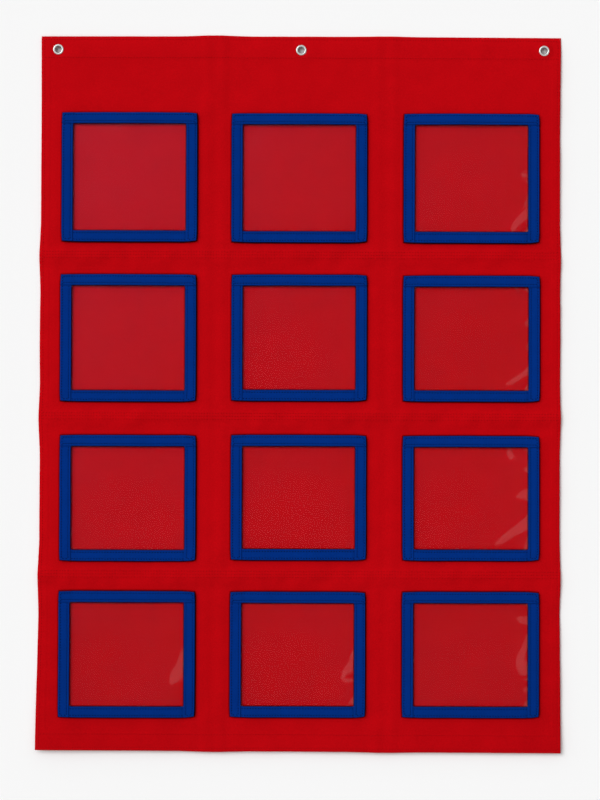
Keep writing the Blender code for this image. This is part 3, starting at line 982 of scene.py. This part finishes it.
def thread_rows(strip, rng):
    """The stitch rows on one strip of tape."""
    def surface(s, u, height):
        return strip.point(s, u, strip.front(s, u) + height)

    outer, inner = STITCH_ROWS
    if strip.side == "mouth":
        start, end = outer, strip.length - outer
        ends = [((at, outer), (at, TAPE_WIDTH)) for at in (start, end)]
    elif strip.side == "bottom":
        start, end, ends = TAPE_WIDTH, strip.length - TAPE_WIDTH, []
    else:
        start, end = outer, strip.length - TAPE_WIDTH
        ends = [((outer, outer), (outer, inner))]
    rows = [((start, row), (end, row)) for row in STITCH_ROWS]
    return [stitch_row(*row, surface, rng) for row in rows + ends]


def depth_inside(corners, x, z):
    """How far inside an outline each place lies, and 0 for the places outside it."""
    within = np.zeros(x.shape, bool)
    nearest = np.full(x.shape, np.inf)
    for (ax, az), (bx, bz) in zip(corners, [*corners[1:], corners[0]]):
        run, rise = bx - ax, bz - az
        slant = run / rise if rise else 0.0
        within ^= ((az > z) != (bz > z)) & (x < ax + (z - az) * slant)
        share = np.clip(((x - ax) * run + (z - az) * rise) / (run * run + rise * rise), 0.0, 1.0)
        nearest = np.minimum(nearest, np.hypot(x - ax - share * run, z - az - share * rise))
    return np.where(within, nearest, 0.0)


def buckle_depth(pocket, x, z):
    """How far inside a buckled place of the window each place lies."""
    right, low = pocket.right - TAPE_WIDTH, pocket.bottom + TAPE_WIDTH
    depth = np.zeros(x.shape)
    for outline in BUCKLES.get(pocket.name, ()):
        corners = [(right - across * MM, low + up * MM) for across, up in zip(outline[::2], outline[1::2])]
        depth = np.maximum(depth, depth_inside(corners, x, z))
    return depth


def inside_tapes(pocket, x, z):
    """Distance of places of a window from the nearest tape."""
    aside = np.minimum(x - pocket.left, pocket.right - x)
    return np.minimum(aside, np.minimum(z - pocket.bottom, pocket.top - z)) - TAPE_WIDTH


def window_height(pocket, x, z):
    """Height of the vinyl above the cloth: a low swell, and buckled places along the right edge."""
    inside = inside_tapes(pocket, x, z)
    swell = Waves(pocket.seed + SWELL_SEEDS, *SWELL_WAVES)
    height = WINDOW_SWELL * (0.5 + swell.at(x, z)) * step_up(inside, 0.0, WINDOW_SWELL_REACH)
    raised = np.minimum(BUCKLE_SLOPE * buckle_depth(pocket, x, z), BUCKLE_HEIGHT)
    return WINDOW_LOW + height + raised * step_up(inside, 0.0, BUCKLE_HELD)


def window_stations(pocket):
    """Places across and up a window, closest along its tapes and where it is buckled."""
    left, right = pocket.left + WINDOW_INSET, pocket.right - WINDOW_INSET
    low, high = pocket.bottom + WINDOW_INSET, pocket.top - WINDOW_INSET
    edge = WINDOW_EDGE_MARK, WINDOW_EDGE_STEP
    across_marks = [(pocket.left + TAPE_WIDTH, *edge), (pocket.right - TAPE_WIDTH, *edge)]
    up_marks = [(pocket.bottom + TAPE_WIDTH, *edge), (pocket.top - TAPE_WIDTH, *edge)]
    rise = WINDOW_COARSE_STEP
    if pocket.name in BUCKLES:
        across_marks.append((right - WINDOW_FINE_ZONE / 2, WINDOW_FINE_ZONE / 2, WINDOW_FINE_STEP))
        rise = WINDOW_RISE_STEP
    return stations(left, right, WINDOW_COARSE_STEP, across_marks), stations(low, high, rise, up_marks)


def window_normals(front, buckled):
    """Directions of the window's surface, which in the buckled places face the bright side."""
    normals = np.cross(np.gradient(front, axis=1), np.gradient(front, axis=0))
    normals[buckled] = BUCKLE_NORMAL
    normals = normals.reshape(-1, 3)
    return normals / np.linalg.norm(normals, axis=1)[:, None]


def make_window(pocket, material):
    """The clear sheet of a pocket, which reaches in between the layers of its tapes."""
    across, up = window_stations(pocket)
    z, x = np.meshgrid(up, across, indexing="ij")
    height = window_height(pocket, x, z)
    front, back = pocket.point(x, z, height + WINDOW_THICKNESS), pocket.point(x, z, height)
    # Painted shadow along the inside of the tapes
    shade = bump(inside_tapes(pocket, x, z), WINDOW_PAINTED_SHADOW_REACH)
    sheet = closed_sheet(with_shade(front, shade), with_shade(back, shade))
    window = make_shaded_object(f"vinyl_{pocket.name}", *sheet, material)
    normals = window_normals(front, buckle_depth(pocket, x, z) > 0.0)
    window.data.normals_split_custom_set_from_vertices(np.concatenate([normals, -normals]).tolist())
    return window


def make_pocket(pocket, materials):
    """All that shows of one pocket: window, tape on three sides, mouth tape and the thread in them."""
    strips = {side: Strip(pocket, side) for side in ("bottom", "left", "right", "mouth")}
    window = make_window(pocket, materials["vinyl"])
    edge_shells = [layer for side in ("bottom", "left", "right") for layer in strips[side].layers()]
    edge = make_shaded_object(f"edge_binding_{pocket.name}", *join_shells(edge_shells), materials["tape"])
    mouth_shells = strips["mouth"].layers()
    mouth = make_shaded_object(f"mouth_binding_{pocket.name}", *join_shells(mouth_shells), materials["tape"])
    rows = [thread_row for strip in strips.values() for thread_row in thread_rows(strip, pocket.rng)]
    thread = stitches_object(f"tape_thread_{pocket.name}", rows, materials["tape_thread"])
    for obj, node in ((window, "window"), (edge, "edge_tape"), (mouth, "mouth_tape")):
        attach(obj, pocket.body)
        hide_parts(f"{node}_{pocket.name}")
    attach(thread, pocket.body)


def groove_marks(*sides):
    """Places of the pockets' sides, each with a reach that covers the same side of its neighbours."""
    marks = []
    for side in sides:
        places = sorted(getattr(pocket, side) for pocket in POCKETS)
        groups = [[places[0]]]
        for place in places[1:]:
            if place - groups[-1][-1] > GROOVE_MARK:
                groups.append([])
            groups[-1].append(place)
        marks += [((group[0] + group[-1]) / 2, (group[-1] - group[0]) / 2 + GROOVE_MARK) for group in groups]
    return marks


def cloth_stations(index, low, high):
    """Places across and up one piece of the cloth, closest at its sewing and round the pockets."""
    marks = [(sign * (HALF_WIDTH - EDGE_MARK), EDGE_MARK) for sign in (-1, 1)]
    marks += [(sign * (HALF_WIDTH - SIDE_HEM_WIDTH), HEM_MARK) for sign in (-1, 1)]
    marks += [(x, EYELET_MARK) for x, _ in EYELETS if index == 0]
    across_marks = [(*mark, FINE_STEP) for mark in marks]
    across_marks += [(*mark, GROOVE_STEP) for mark in groove_marks("left", "right")]
    marks = [(SEAMS[index] + sum(SEAM_STITCH_RISES) / len(SEAM_STITCH_RISES), SEAM_MARK)]
    if index == 0:
        marks += [(high - EDGE_MARK, EDGE_MARK), (high - TOP_HEM_STITCH_DROP, HEM_MARK * 2)]
        marks.append((0.0, EYELET_MARK))
    if index == len(SEAMS) - 1:
        marks += [(low + EDGE_MARK, EDGE_MARK), (low + BOTTOM_HEM_STITCH_RISE, HEM_MARK * 2)]
    up_marks = [(*mark, FINE_STEP) for mark in marks]
    up_marks += [(*mark, GROOVE_STEP) for mark in groove_marks("bottom", "top")]
    across = stations(-HALF_WIDTH, HALF_WIDTH, COARSE_STEP, across_marks)
    return across, stations(low, high, COARSE_STEP, up_marks)


def clear_of_eyelets(across, up):
    """Which cells of a grid stay, with the rest cut out for the eyelets' barrels."""
    x, z = np.meshgrid((across[1:] + across[:-1]) / 2, (up[1:] + up[:-1]) / 2)
    kept = np.ones(x.shape, bool)
    for eyelet_x, eyelet_z in EYELETS:
        kept &= np.hypot(x - eyelet_x, z - eyelet_z) > EYELET_CLEAR_RADIUS
    return kept


def make_cloth(index, low, high, materials):
    """One piece of the cloth back, from low to high, with the seam in its middle."""
    across, up = cloth_stations(index, low, high)
    z, x = np.meshgrid(up, across, indexing="ij")
    # Painted shade along the outside of every pocket, stronger on the right and below
    shade = beside_pockets(x, z, GROOVE_PAINTED_SHADE_DEEP, GROOVE_PAINTED_SHADE_SHALLOW, GROOVE_PAINTED_SHADE_REACH)
    front = with_shade(cloth_point(x, z, front_depth(x, z)), shade)
    back = with_shade(cloth_point(x, z, back_depth(x, z)), 0.0)
    sheet = closed_sheet(front, back, clear_of_eyelets(across, up))
    cloth = make_shaded_object(f"cloth_{CLOTH_PIECES[index]}", *sheet, materials["canvas"])
    rows = cloth_thread_rows(index, low, high)
    thread = stitches_object(f"cloth_thread_{CLOTH_PIECES[index]}", rows, materials["cloth_thread"])
    start, end = [(0.0, -CLOTH_FRONT, SEAMS[index] + sign * BLEND_REACH) for sign in (1, -1)]
    for obj in (cloth, thread):
        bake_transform(obj)
        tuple(start)
        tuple(end)
    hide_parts(CLOTHS[index], CLOTHS[index + 1])


def cloth_thread_rows(index, low, high):
    """The red topstitching of one piece: round the outer edge, along the hems and three rows at the seam."""
    rng = np.random.default_rng(SEED + THREAD_SEEDS + index)

    def surface(x, z, height):
        return cloth_point(x, z, front_depth(x, z) + height)

    side = HALF_WIDTH - EDGE_STITCH_INSET
    bottom = low + (EDGE_STITCH_INSET if index == len(SEAMS) - 1 else 0.0)
    top = high - (EDGE_STITCH_INSET if index == 0 else 0.0)
    rows = [((sign * side, bottom), (sign * side, top)) for sign in (-1, 1)]
    levels = [SEAMS[index] + rise for rise in SEAM_STITCH_RISES]
    if index == 0:
        levels += [top, high - TOP_HEM_STITCH_DROP]
    if index == len(SEAMS) - 1:
        levels += [bottom, low + BOTTOM_HEM_STITCH_RISE]
    rows += [((-side, level), (side, level)) for level in levels]
    return [stitch_row(start, end, surface, rng) for start, end in rows]


def lathe(profile, centre):
    """Points and faces of a closed ring turned about the Y axis through centre, from radii and depths."""
    radii, depths = np.array(profile).T
    turns = np.linspace(0.0, 2.0 * math.pi, ROUND_STEPS, endpoint=False)
    x = centre[0] + np.outer(np.cos(turns), radii)
    z = centre[1] + np.outer(np.sin(turns), radii)
    y = -np.broadcast_to(depths, x.shape)
    points = np.stack([x, y, z], axis=-1).reshape(-1, 3)
    count = len(radii)
    faces = []
    for turn in range(ROUND_STEPS):
        here, there = turn * count, (turn + 1) % ROUND_STEPS * count
        for step in range(count):
            after = (step + 1) % count
            faces.append((here + step, there + step, there + after, here + after))
    return points, faces


def arc(centre_radius, centre_depth, across, forward, start, end):
    """Points of a quarter or half round in a turned profile, as radii and depths."""
    angles = np.linspace(math.radians(start), math.radians(end), ARC_STEPS + 1)
    return [(centre_radius + across * math.cos(a), centre_depth + forward * math.sin(a)) for a in angles]


def eyelet_profile():
    """Radii and depths round the section of an eyelet: its domed flange, barrel and rolled rim."""
    middle = (HOLE_RADIUS + FLANGE_RADIUS) / 2
    half = (FLANGE_RADIUS - HOLE_RADIUS) / 2
    outer = arc(middle, EYELET_SEAT_FRONT, half, FLANGE_RISE, 0, 180)
    inner = arc(middle, EYELET_SEAT_FRONT, half - BARREL_WALL, FLANGE_RISE - BARREL_WALL, 180, 0)
    roll = RIM_REACH / 2
    rim = HOLE_RADIUS + roll, WASHER_BACK_DEPTH - RIM_THICKNESS + roll / 2
    rim_outer = arc(*rim, roll, roll / 2, 180, 360)
    rim_inner = arc(*rim, roll - BARREL_WALL, roll / 2 - BARREL_WALL / 2, 360, 180)
    return outer + rim_outer + rim_inner + inner


def washer_profile():
    """Radii and depths round the section of a washer, bevelled at the outside of its rear."""
    inner = HOLE_RADIUS + BARREL_WALL * 2
    bevel = WASHER_THICKNESS / 4
    return [
        (inner, EYELET_SEAT_BACK),
        (inner, WASHER_BACK_DEPTH),
        (WASHER_RADIUS - bevel, WASHER_BACK_DEPTH),
        (WASHER_RADIUS, WASHER_BACK_DEPTH + bevel),
        (WASHER_RADIUS, EYELET_SEAT_BACK),
    ]


def make_eyelet(name, place, materials):
    """A flanged eyelet, and the washer behind the cloth that its barrel is rolled over."""
    for node, profile in (("eyelet", eyelet_profile()), ("washer", washer_profile())):
        obj = make_mesh_object(f"nickel_{node}_{name}", *lathe(profile, place), materials["nickel"])
        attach(obj, BODIES[0])
        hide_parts(f"{node}_{name}")


class Nodes:
    """A short way to build a node tree: add returns a new node, the others an output or nothing."""

    def __init__(self, tree):
        self.tree = tree

    def add(self, kind, inputs=(), **settings):
        node = self.tree.nodes.new(kind)
        for name, value in settings.items():
            setattr(node, name, value)
        for name, value in dict(inputs).items():
            if isinstance(value, bpy.types.NodeSocket):
                self.tree.links.new(value, node.inputs[name])
            else:
                node.inputs[name].default_value = value
        return node

    def math(self, operation, first, second=None, third=None):
        values = [value for value in (first, second, third) if value is not None]
        return self.add("ShaderNodeMath", enumerate(values), operation=operation).outputs[0]

    def noise(self, place, scale, detail=2.0, roughness=0.5):
        inputs = {"Vector": place, "Scale": scale, "Detail": detail, "Roughness": roughness}
        return self.add("ShaderNodeTexNoise", inputs).outputs["Fac"]

    def tint(self, colour, share):
        """A colour made darker or lighter by a factor."""
        rgb = self.add("ShaderNodeRGB")
        rgb.outputs[0].default_value = (*colour, 1.0)
        scale = self.add("ShaderNodeVectorMath", {0: rgb.outputs[0], "Scale": share}, operation="SCALE")
        return scale.outputs[0]

    def varied(self, value, spread, base=1.0, centre=0.5):
        """The base, raised and lowered as the value swings about its centre."""
        return self.math("MULTIPLY_ADD", self.math("SUBTRACT", value, centre), spread, base)

    def parts(self, place):
        return self.add("ShaderNodeSeparateXYZ", {0: place}).outputs

    def fold(self):
        """The painted shade that is stored on the mesh, from 0 to 1."""
        return self.add("ShaderNodeAttribute", attribute_name=PAINTED_SHADE_ATTRIBUTE).outputs["Fac"]

    def feed(self, socket, value):
        """Lets a value drive one socket of the material's shader."""
        self.tree.links.new(value, self.tree.nodes["Principled BSDF"].inputs[socket])

    def relief(self, height, depth, strength=1.0):
        """Small relief, seen in the light and not in the mesh."""
        bump_node = self.add("ShaderNodeBump", {"Strength": strength, "Distance": depth, "Height": height})
        self.feed("Normal", bump_node.outputs[0])


def new_material(name, **constants):
    """A Principled material with values set on its own sockets, its node helper and its place output."""
    material = bpy.data.materials.new(name)
    material.use_nodes = True
    shader = material.node_tree.nodes["Principled BSDF"]
    for socket, value in constants.items():
        shader.inputs[socket.replace("_", " ")].default_value = value
    nodes = Nodes(material.node_tree)
    return material, nodes, nodes.add("ShaderNodeTexCoord").outputs["Object"]


def weave(nodes, place, pitch):
    """Height share of a plain weave: threads up and across that pass over and under each other."""
    parts = nodes.parts(place)
    along = [nodes.math("MULTIPLY", parts[axis], math.pi / pitch) for axis in "XZ"]
    over = nodes.math("MULTIPLY", *[nodes.math("SINE", way) for way in along])
    crowns = [nodes.math("ABSOLUTE", nodes.math("COSINE", way)) for way in along]
    upright = nodes.math("MULTIPLY", crowns[0], nodes.math("ADD", 1.0, over))
    level = nodes.math("MULTIPLY", crowns[1], nodes.math("SUBTRACT", 1.0, over))
    return nodes.math("MULTIPLY", 0.5, nodes.math("MAXIMUM", upright, level))


def painted_falloff(nodes, place):
    """Painted shade: how much of the light the lower part and the two sides keep, as a factor."""
    parts = nodes.parts(place)
    limits = {"From Min": PAINTED_FALLOFF_FROM, "From Max": BOTTOM_EDGE, "To Min": 0.0, "To Max": -PAINTED_FALLOFF_LOSS}
    loss = nodes.add("ShaderNodeMapRange", {"Value": parts["Z"], **limits}).outputs["Result"]
    aside = nodes.math("MULTIPLY", parts["X"], 1.0 / HALF_WIDTH)
    loss = nodes.math("MULTIPLY", loss, nodes.math("MULTIPLY_ADD", aside, aside, 1.0))
    return nodes.math("ADD", loss, 1.0)


def woven_material(name, colour, finish):
    """Woven cloth: thread relief, soft mottling, small flecks and a slight sheen, with painted shade in the
    weave's low places, towards the bottom and the sides, and where the mesh stores it.
    """
    pitch, depth, flecks, roughness = finish
    material, nodes, place = new_material(
        name, Roughness=roughness, Specular_IOR_Level=CLOTH_GLOSS,
        Sheen_Weight=CLOTH_SHEEN, Sheen_Tint=(*colour, 1.0),
    )
    height = weave(nodes, place, pitch)
    specks = nodes.noise(place, FLECK_SCALE, 4.0, FLECK_ROUGHNESS)
    shade = nodes.varied(nodes.noise(place, BLOTCH_SCALE, 3.0), 2.0 * BLOTCH_SHARE)
    shade = nodes.varied(specks, 2.0 * flecks, shade)
    # Painted shade: the weave's low places darker, its high ones lighter
    shade = nodes.varied(height, WEAVE_PAINTED_SHADE, shade, WEAVE_MIDDLE)
    # Painted shade, darker towards the bottom and the sides
    shade = nodes.math("MULTIPLY", shade, painted_falloff(nodes, place))
    # Painted shade stored on the mesh: along the tape's edges and on the cloth beside the pockets
    shade = nodes.math("MULTIPLY", shade, nodes.math("MULTIPLY_ADD", nodes.fold(), -PAINTED_SHADE_DARKNESS, 1.0))
    nodes.feed("Base Color", nodes.tint(colour, shade))
    nodes.relief(nodes.math("MULTIPLY_ADD", specks, FLECK_RELIEF, height), depth)
    return material


def thread_material(name, colour):
    """Sewing thread, twisted: fine slanting light and dark."""
    material, nodes, place = new_material(name, Roughness=THREAD_ROUGHNESS, Specular_IOR_Level=THREAD_GLOSS)
    twist = nodes.noise(place, THREAD_TWIST_SCALE, 1.0)
    nodes.feed("Base Color", nodes.tint(colour, nodes.varied(twist, THREAD_TWIST_SHADE)))
    return material


def vinyl_material():
    """Clear soft sheet with a milky haze, brightened towards the upper left as a painted sheen and darkened
    along its tapes as a painted shadow; its gloss shows the lamps and the room.
    """
    material, nodes, place = new_material(
        "vinyl", Base_Color=(*HAZE_COLOUR, 1.0), IOR=VINYL_IOR,
        Alpha=VINYL_ALPHA, Specular_IOR_Level=VINYL_GLOSS,
    )
    haze = nodes.noise(place, VINYL_HAZE_SCALE, 3.0)
    parts = nodes.parts(place)
    # Painted sheen: the haze brighter towards the upper left
    away = nodes.math("SUBTRACT", nodes.math("SUBTRACT", parts["X"], parts["Z"]), PAINTED_SHEEN_FULL_UNTIL)
    haze_and_painted_sheen = nodes.math("EXPONENT", nodes.math("DIVIDE", away, -PAINTED_SHEEN_FADE))
    haze_and_painted_sheen = nodes.math("MAXIMUM", nodes.math("MINIMUM", haze_and_painted_sheen, 1.0), PAINTED_SHEEN_LEAST)
    haze_and_painted_sheen = nodes.varied(haze, HAZE_UNEVEN, haze_and_painted_sheen)
    # Painted shadow along the tapes: less clear there, with haze and gloss scaled down so that only darkness
    # is added
    painted_shadow_alpha = nodes.math("MULTIPLY_ADD", nodes.fold(), VINYL_PAINTED_SHADOW, VINYL_ALPHA)
    film = nodes.math("DIVIDE", VINYL_ALPHA, painted_shadow_alpha)
    nodes.feed("Alpha", painted_shadow_alpha)
    nodes.feed("Base Color", nodes.tint(HAZE_COLOUR, nodes.math("MULTIPLY", haze_and_painted_sheen, film)))
    nodes.feed("Specular IOR Level", nodes.math("MULTIPLY", film, VINYL_GLOSS))
    rougher = 2 * (VINYL_ROUGHNESS - VINYL_ROUGHNESS_LOW)
    nodes.feed("Roughness", nodes.math("MULTIPLY_ADD", haze, rougher, VINYL_ROUGHNESS_LOW))
    nodes.relief(nodes.noise(place, VINYL_RIPPLE_SCALE, 2.0), VINYL_RIPPLE_DEPTH)
    return material


def nickel_material():
    """Bright nickel plate, dulled a little and finely scratched by handling."""
    material, nodes, place = new_material("nickel", Metallic=1.0)
    wear = nodes.noise(place, NICKEL_WEAR_SCALE, 4.0)
    nodes.feed("Roughness", nodes.math("MULTIPLY_ADD", wear, *NICKEL_ROUGHNESS))
    nodes.feed("Base Color", nodes.tint(NICKEL_COLOUR, nodes.math("MULTIPLY_ADD", wear, *NICKEL_SHADE)))
    scratches = nodes.noise(place, NICKEL_SCRATCH_SCALE, 2.0)
    nodes.relief(scratches, NICKEL_SCRATCH_DEPTH, NICKEL_SCRATCH_STRENGTH)
    return material


def make_materials():
    return {
        "canvas": woven_material("red_canvas", RED, CANVAS_FINISH),
        "tape": woven_material("blue_tape", BLUE, TAPE_FINISH),
        "cloth_thread": thread_material("red_thread", RED_THREAD),
        "tape_thread": thread_material("blue_thread", BLUE_THREAD),
        "vinyl": vinyl_material(),
        "nickel": nickel_material(),
    }


def make_world():
    """Soft studio light by direction: dim straight ahead, a bright ring round it, softer at the sides."""
    world = bpy.data.worlds.new("studio")
    world.use_nodes = True
    tree = world.node_tree
    nodes = Nodes(tree)
    direction = nodes.add("ShaderNodeTexCoord").outputs["Generated"]
    ahead = nodes.add("ShaderNodeVectorMath", {0: direction, 1: (0.0, -1.0, 0.0)}, operation="DOT_PRODUCT")
    facing = {"From Min": -1.0, "From Max": 1.0, "Value": ahead.outputs["Value"]}
    ramp = nodes.add("ShaderNodeMapRange", facing)
    light = nodes.add("ShaderNodeValToRGB", {"Fac": ramp.outputs["Result"]})
    stops = light.color_ramp.elements
    while len(stops) > 1:
        stops.remove(stops[-1])
    for position, (angle, level) in enumerate(WORLD_LEVELS):
        at = (1.0 + math.cos(math.radians(angle))) / 2
        stop = stops[0] if position == 0 else stops.new(at)
        stop.position = at
        stop.color = (level, level, level, 1.0)
    side = nodes.add("ShaderNodeVectorMath", {0: direction, 1: SKY_BRIGHT_SIDE}, operation="DOT_PRODUCT")
    strength = nodes.math("MULTIPLY_ADD", side.outputs["Value"], SKY_TILT, 1.0)
    lit = nodes.add("ShaderNodeBackground", {"Color": light.outputs["Color"], "Strength": strength})
    seen = nodes.add("ShaderNodeBackground", {"Color": (*[BACKGROUND] * 3, 1.0), "Strength": 1.0})
    path = nodes.add("ShaderNodeLightPath").outputs
    shows = nodes.math("MAXIMUM", path["Is Camera Ray"], path["Is Glossy Ray"])
    shows = nodes.math("MAXIMUM", shows, path["Is Transmission Ray"])
    mixed = nodes.add("ShaderNodeMixShader", {"Fac": shows, 1: lit.outputs[0], 2: seen.outputs[0]})
    tree.links.new(mixed.outputs[0], tree.nodes["World Output"].inputs["Surface"])
    bpy.context.scene.world = world


def make_key_light():
    key = bpy.data.lights.new("key", "SUN")
    key.energy = KEY_STRENGTH
    key.angle = KEY_ANGLE
    lamp = bpy.data.objects.new("key", key)
    lamp.rotation_euler = Vector(KEY_FROM).to_track_quat("Z", "Y").to_euler()
    bpy.context.scene.collection.objects.link(lamp)


def one_sided_material(name, level):
    """Matt white that shows on its front only."""
    material = bpy.data.materials.new(name)
    material.use_nodes = True
    tree = material.node_tree
    tree.nodes.remove(tree.nodes["Principled BSDF"])
    nodes = Nodes(tree)
    matt = nodes.add("ShaderNodeBsdfDiffuse", {"Color": (level, level, level, 1.0)})
    clear = nodes.add("ShaderNodeBsdfTransparent")
    behind = nodes.add("ShaderNodeNewGeometry").outputs["Backfacing"]
    mixed = nodes.add("ShaderNodeMixShader", {"Fac": behind, 1: matt.outputs[0], 2: clear.outputs[0]})
    tree.links.new(mixed.outputs[0], tree.nodes["Material Output"].inputs["Surface"])
    return material


def make_stage():
    """The wall that the chart hangs on, with a nail hole behind each eyelet, and a pale floor below it."""
    plane, holes = wall_faces()
    wall = make_backdrop("wall", *plane, WALL_LEVEL)
    # The holes' inside is a darker grey than the wall: painted shade
    nail_holes = make_backdrop("nail_holes", *holes, WALL_HOLE_SHADED_LEVEL)
    nail_holes.visible_shadow = True
    nail_holes.visible_diffuse = True
    corners = [(x * STAGE_REACH, y * STAGE_REACH, FLOOR_Z) for x, y in ((-1, -1), (1, -1), (1, 1), (-1, 1))]
    floor = make_backdrop("floor", corners, [(0, 1, 2, 3)], FLOOR_LEVEL)
    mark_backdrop(wall, nail_holes, floor)


def wall_faces():
    """Points and faces of the flat wall with its square openings, and those of the hole in each opening."""
    across = [-STAGE_REACH, STAGE_REACH]
    for x, _ in EYELETS:
        across += [x - WALL_HOLE_HALF, x + WALL_HOLE_HALF]
    across.sort()
    up = [-STAGE_REACH, EYELETS[0][1] - WALL_HOLE_HALF, EYELETS[0][1] + WALL_HOLE_HALF, STAGE_REACH]
    plane, holes = ([], []), ([], [])
    for column, (left, right) in enumerate(zip(across, across[1:])):
        for row, (low, high) in enumerate(zip(up, up[1:])):
            hollow = row == 1 and column % 2 == 1
            points, faces = holes if hollow else plane
            first = len(points)
            ring = ((left, low), (right, low), (right, high), (left, high))
            points += [(x, WALL_Y, z) for x, z in ring]
            corners = tuple(range(first, first + 4))
            if hollow:
                points += [(x, WALL_Y + WALL_HOLE_DEPTH, z) for x, z in ring]
                for side in range(4):
                    a, b = corners[side], corners[(side + 1) % 4]
                    faces.append((a, b, b + 4, a + 4))
                corners = tuple(corner + 4 for corner in corners)
            faces.append(corners)
    return plane, holes


def make_backdrop(name, points, faces, level):
    """A wide backdrop that throws no shadow and no light back."""
    backdrop = make_mesh_object(name, points, faces, one_sided_material(name, level), smooth=False)
    backdrop.visible_shadow = False
    backdrop.visible_diffuse = False
    return backdrop


def make_camera():
    """A long lens from a little below the chart's middle, tilted up at it and rolled a little."""
    camera = bpy.data.objects.new("camera", bpy.data.cameras.new("camera"))
    camera.data.lens = FOCAL_LENGTH_PIXELS * SENSOR_WIDTH_MM / PHOTO_HEIGHT_PIXELS
    camera.data.sensor_width = SENSOR_WIDTH_MM
    camera.data.sensor_fit = "AUTO"
    forward = Vector((0.0, math.cos(CAMERA_PITCH), math.sin(CAMERA_PITCH)))
    level_up = Vector((0.0, -math.sin(CAMERA_PITCH), math.cos(CAMERA_PITCH)))
    level_right = Vector((1.0, 0.0, 0.0))
    right = level_right * math.cos(CAMERA_ROLL) + level_up * math.sin(CAMERA_ROLL)
    up = level_up * math.cos(CAMERA_ROLL) - level_right * math.sin(CAMERA_ROLL)
    turned = Matrix((right, up, -forward)).transposed()
    camera.matrix_world = Matrix.Translation((0.0, -CAMERA_DISTANCE, CAMERA_HEIGHT)) @ turned.to_4x4()
    camera.data.clip_start, camera.data.clip_end = CAMERA_CLIP
    bpy.context.scene.collection.objects.link(camera)
    bpy.context.scene.camera = camera


def write_sizes():
    bpy.context.view_layer.update()
    boxes = {"cad": cad_box, "visual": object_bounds()}
    sizes = {name: [list(corner) for corner in corners] for name, corners in boxes.items()}


def main():
    bpy.context.scene.view_settings.view_transform = "Standard"
    make_camera()
    make_world()
    make_key_light()
    make_stage()
    materials = make_materials()
    cuts = [TOP_EDGE, *[(upper + lower) / 2 for upper, lower in zip(SEAMS, SEAMS[1:])], BOTTOM_EDGE]
    for index, (high, low) in enumerate(zip(cuts, cuts[1:])):
        make_cloth(index, low, high, materials)
    for pocket in POCKETS:
        make_pocket(pocket, materials)
    for name, place in zip(EYELET_NAMES, EYELETS):
        make_eyelet(name, place, materials)
    write_sizes()


main()
